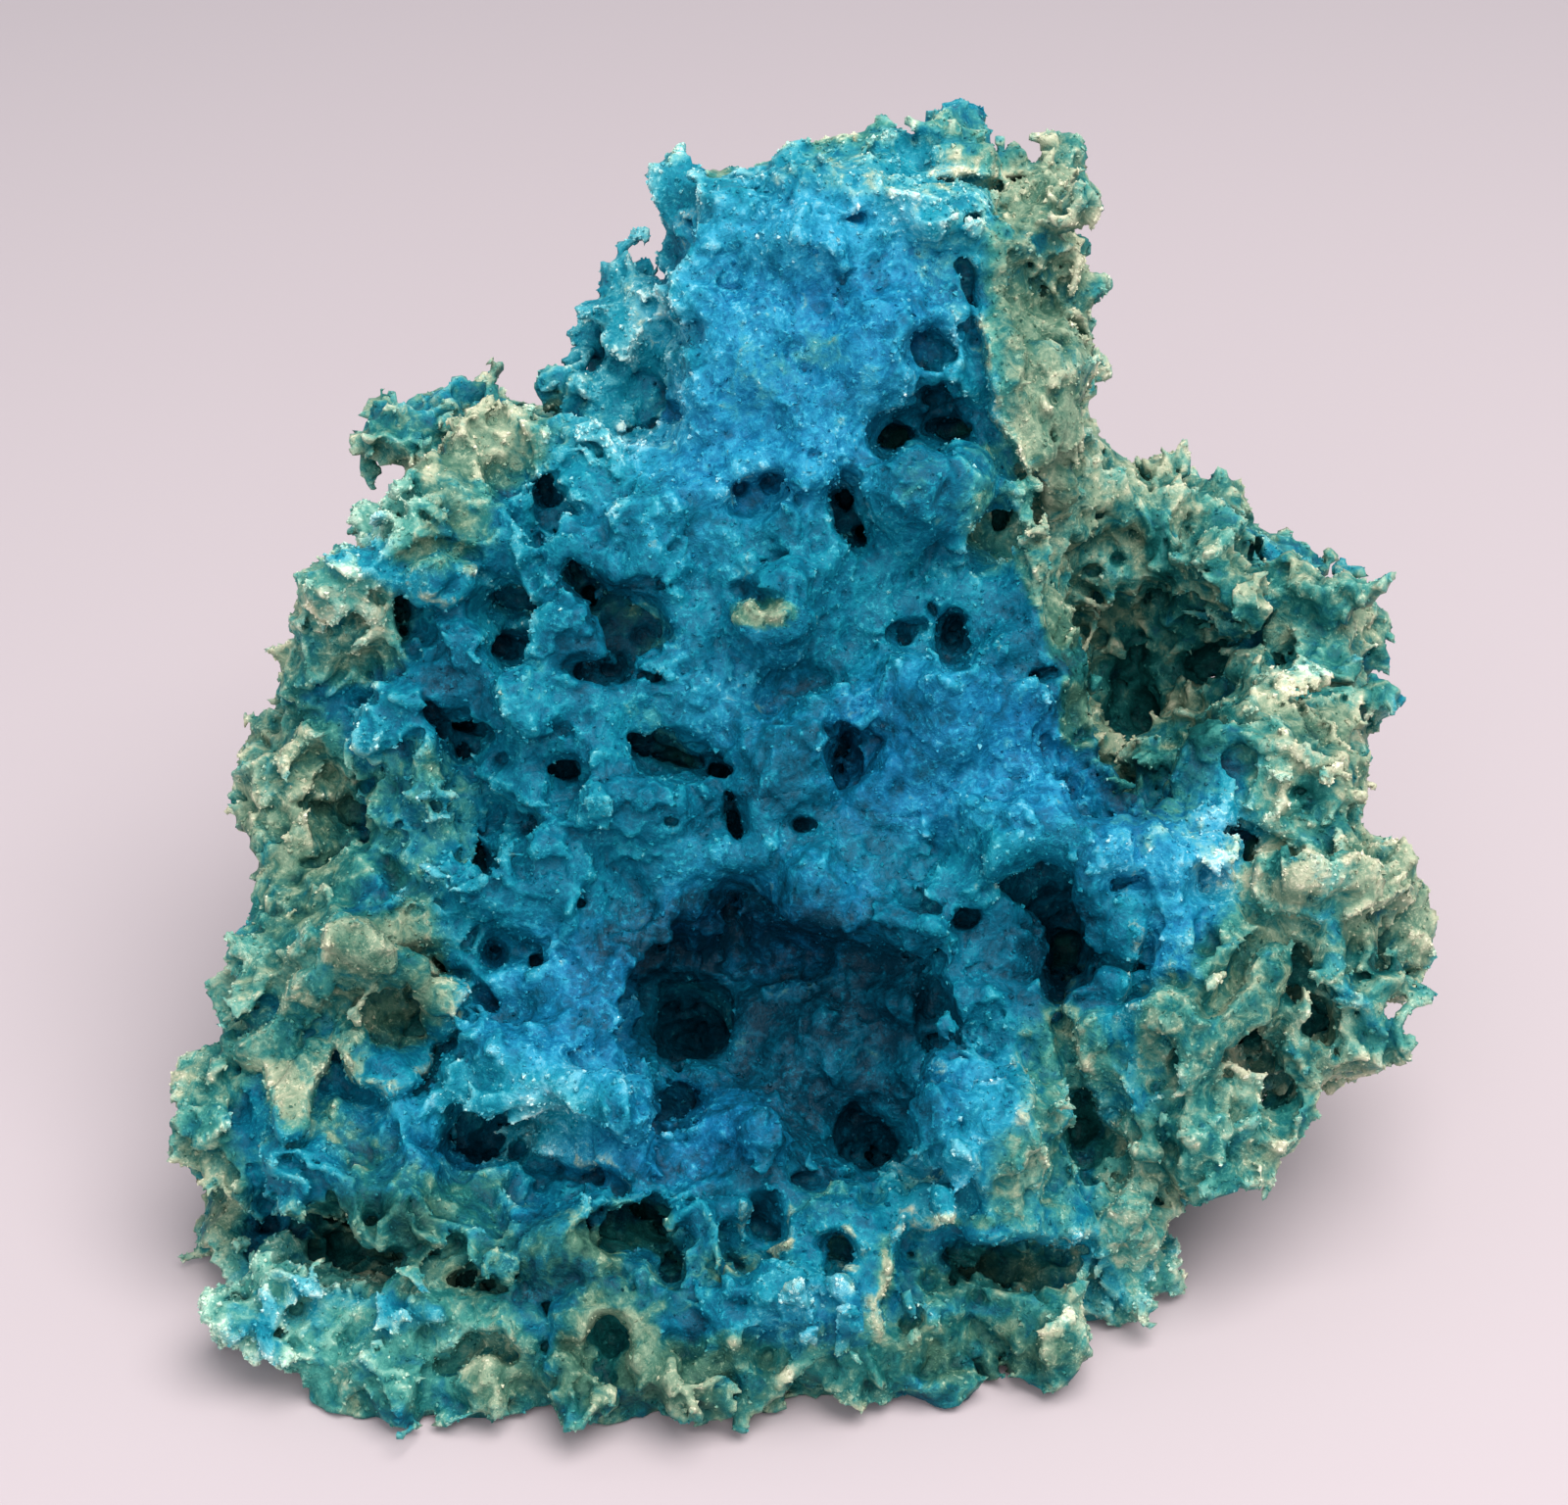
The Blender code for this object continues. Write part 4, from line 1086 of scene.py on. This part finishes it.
def paint(mesh, field, blurs, sparkle=0.0):
    """Stores the masks that the material mixes its colours by, and the light value, into which shade and
    highlights are painted.

    A crest of the fine field is a sharp edge, one of the broad field is a convex lump, and a place below
    the broader field lies deep in a hollow.
    """
    points = points_of(mesh)
    across, up, out = to_face(points)
    sharp, convex, high = (field.at(points, blurred) for blurred in blurs)
    # Painted shade deep inside the holes.
    shade_in_hole = field.at(points, field.hole_shade)
    patch = noise(points, 7.0, 70)
    front = ramp(out, -16, -8)
    bright = on_map(spread, BRIGHT, across, up) * front
    cyan = on_map(spread, CYAN, across, up) * front
    flank = ramp(np.hypot(across / 30, (up + 2) / 40), 0.8, 1.1)
    flank = np.maximum(flank * 0.55, 0.62 * (1 - front)) + 0.35 * patch
    flank *= 1 - on_map(spread, BLUE_FLANK, across, up)
    coat = np.maximum(flank, on_map(spread, CRUSTED, across, up) * front)
    coat *= 1 + 0.3 * noise(points, 2.8, 71)
    deep = ramp(-high, 1.6, 3.5)
    crust = coat * (1 - deep) * (1 - shade_in_hole)
    green = np.maximum(1.9 * coat * (1 - 0.4 * deep), on_map(spread, GREENED, across, up))
    # Painted shade on concave ground; convex lumps are paler with frost.
    light = BASE_LIGHT + 0.22 * ramp(convex, 0.0, 0.8) - 0.24 * ramp(-convex, 0.0, 0.8)
    # Sharp edges are paler: sugary rims, partly a painted highlight along them.
    light += 0.15 * ramp(sharp, 0.06, 0.24)
    # Painted light and shade, with some of the stone's own tone, from the list.
    light += on_map(added, PAINTED_LIGHT_AND_TONES, across, up) * front
    light -= on_map(spread, SHADED, across, up) * front
    # Painted shade deep in the hollows; the cyan patches are paler stone.
    light += 0.25 * cyan - 0.55 * ramp(-high, 0.4, 2.4) + 0.08 * patch
    lips = field.at(points, field.lips)
    # Painted shade darkens the deep holes; the lips are paler crust.
    light = light * (1 - 0.6 * shade_in_hole) + 0.18 * lips
    crust = np.maximum(crust, 0.55 * lips)
    set_attribute(mesh, "light", np.clip(light + sparkle, 0, 1))
    set_attribute(mesh, "bright", np.clip(bright + 0.25 * patch - 0.5 * cyan, 0, 1))
    set_attribute(mesh, "green", np.clip(green + 0.2 * patch - 0.5 * cyan, 0, 1))
    set_attribute(mesh, "crust", np.clip(crust - 0.12 - cyan, 0, 1))


def scatter(stones, count, rng):
    """(places, normals) spread over the skins, thicker on the sugary crests and on the front.

    None lie under the foot.
    """
    corners, weights = [], []
    for stone in stones:
        mesh = stone.data
        points = points_of(mesh)
        mesh.calc_loop_triangles()
        index = np.empty(len(mesh.loop_triangles) * 3, np.int32)
        mesh.loop_triangles.foreach_get("vertices", index)
        light = np.empty(len(points), np.float32)
        mesh.attributes["light"].data.foreach_get("value", light)
        index = index.reshape(-1, 3)
        corners.append(points[index])
        weights.append(0.15 + 2.5 * light[index].mean(axis=1) ** 2)
    a, b, c = np.concatenate(corners).transpose(1, 0, 2)
    normal = np.cross(b - a, c - a)
    area = np.linalg.norm(normal, axis=1)
    _, _, out = to_face((a + b + c) / 3)
    weight = area * np.concatenate(weights) * (1 + ramp(out, -14, -6)) * (a[:, 2] > 0.5)
    chosen = rng.choice(len(area), count, p=weight / weight.sum())
    u, v = rng.uniform(size=(2, count, 1)).astype(np.float32)
    flip = u + v > 1
    u, v = np.where(flip, 1 - u, u), np.where(flip, 1 - v, v)
    places = a[chosen] + u * (b - a)[chosen] + v * (c - a)[chosen]
    return places, normal[chosen] / area[chosen, None]


def make_grains(name, stones, smallest, largest, seed):
    """Crystal grains, each a skewed octahedron sunk part way into the skin."""
    rng = np.random.default_rng(seed)
    places, normals = scatter(stones, GRAINS, rng)
    size = smallest + (largest - smallest) * rng.uniform(size=(GRAINS, 1)) ** 2
    corners = np.array([(1, 0, 0), (-1, 0, 0), (0, 1, 0), (0, -1, 0), (0, 0, 1), (0, 0, -1)], float)
    upper = [(0, 2, 4), (2, 1, 4), (1, 3, 4), (3, 0, 4)]
    lower = [(2, 0, 5), (1, 2, 5), (3, 1, 5), (0, 3, 5)]
    sides = np.array(upper + lower)
    turn = np.linalg.qr(rng.normal(size=(GRAINS, 3, 3)))[0]
    turn *= np.sign(np.linalg.det(turn))[:, None, None]
    shape = corners[None] * rng.uniform(0.6, 1.4, (GRAINS, 1, 3))
    shape = shape + rng.uniform(-0.15, 0.15, (GRAINS, 6, 3))
    shape = np.einsum("nij,nkj->nki", turn, shape) * size[:, None]
    points = (places - 0.1 * size * normals)[:, None] + shape
    faces = sides[None] + 6 * np.arange(GRAINS)[:, None, None]
    mesh = mesh_of(name, points.reshape(-1, 3), faces.reshape(-1, 3))
    mesh.polygons.foreach_set("use_smooth", np.zeros(len(mesh.polygons), bool))
    return object_of(name, mesh), rng.normal(0.02, 0.1, GRAINS).repeat(6)


def seams(field):
    """For each piece of the stone, a grid that is below 0 where that piece lies."""
    x, y, z = (GRID * (low + np.arange(size)) for low, size in zip(field.low, field.value.shape))
    x = x[:, None, None] - FACE_CENTRE[0]
    y = y[None, :, None] - FACE_CENTRE[1]
    z = z[None, None, :] - FACE_CENTRE[2]
    wave = 0.9 * np.sin(x / 2.1 + 1) * np.sin(z / 1.9) + 0.9 * np.sin(y / 1.7)
    back = (y * OUT[1] + z * OUT[2] - SEAM_OUT + wave).astype(np.float32)
    below = (y * UP[1] + z * UP[2] - SEAM_UP + wave).astype(np.float32)
    return {
        "stone_upper": np.maximum(-back, -below) - SEAM_OVERLAP,
        "stone_lower": np.maximum(-back, below) - SEAM_OVERLAP,
        "stone_back": back - SEAM_OVERLAP,
    }


def make_specimen():
    field = Field(frame["nodes"][NODE])
    swell(field)
    relief(field)
    drive_holes(field)
    raise_lips(field)
    floor = -GRID * (field.low[2] + np.arange(field.value.shape[2], dtype=np.float32))
    field.value = np.maximum(field.value, floor)
    fine = blur(field.value.copy(), 2)
    broad = blur(fine.copy(), 4)
    broader = blur(broad[::2, ::2, ::2].copy(), 14)
    broader = broader.repeat(2, 0).repeat(2, 1).repeat(2, 2)
    blurs = (fine, broad, broader)
    stones = []
    for name, within in seams(field).items():
        stone = object_of(name, mesh_of(name, *skin_of(field, within)))
        thin(stone, SKIN_TRIANGLES)
        paint(stone.data, field, blurs)
        stones.append(stone)
    pieces = list(stones)
    for index, (smallest, largest) in enumerate(GRAIN_SIZES):
        grains, sparkle = make_grains(f"grains_{index + 1}", stones, smallest, largest, 100 + index)
        paint(grains.data, field, blurs, sparkle)
        pieces.append(grains)
    material = stone_material()
    for piece in pieces:
        piece.data.materials.append(material)
        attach(piece, "root")
    for stone in stones:
        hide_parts(NODE)


def make_floor():
    mesh = bpy.data.meshes.new("floor")
    mesh.from_pydata([(-3, -3, 0), (3, -3, 0), (3, 3, 0), (-3, 3, 0)], [], [(0, 1, 2, 3)])
    floor = object_of("floor", mesh)
    material = bpy.data.materials.new("floor")
    material.use_nodes = True
    shader = material.node_tree.nodes["Principled BSDF"]
    shader.inputs["Base Color"].default_value = linear(170, 158, 162)
    shader.inputs["Roughness"].default_value = 0.6
    mesh.materials.append(material)


def make_light(name, place, size, watts, colour):
    data = bpy.data.lights.new(name, "AREA")
    data.shape = "DISK"
    data.size = size
    data.energy = watts
    data.color = colour
    light = bpy.data.objects.new(name, data)
    light.location = place
    light.rotation_euler = (Vector((0, 0, 0.03)) - Vector(place)).to_track_quat("-Z", "Y").to_euler()
    bpy.context.scene.collection.objects.link(light)


def make_camera():
    data = bpy.data.cameras.new("camera")
    data.sensor_width = 36
    data.lens = 67.5
    data.clip_start = 0.001
    camera = bpy.data.objects.new("camera", data)
    back = Vector(OUT)
    camera.location = Vector(FACE_CENTRE / 1000) + back * CAMERA_BACK / 1000
    camera.rotation_euler = (-back).to_track_quat("-Z", "Y").to_euler()
    bpy.context.scene.collection.objects.link(camera)
    bpy.context.scene.camera = camera


def make_world():
    world = bpy.data.worlds.new("world")
    bpy.context.scene.world = world
    world.use_nodes = True
    background = world.node_tree.nodes["Background"]
    background.inputs["Color"].default_value = (0.9, 0.95, 1, 1)
    background.inputs["Strength"].default_value = 0.72


make_camera()
make_world()
make_floor()
make_light("key", (0.16, -0.14, 0.6), 0.6, 6.5, (1, 0.98, 0.96))
make_light("fill", (-0.1, -0.5, 0.3), 0.5, 1.8, (0.97, 0.98, 1))
make_specimen()
bpy.context.scene.view_settings.view_transform = "Standard"
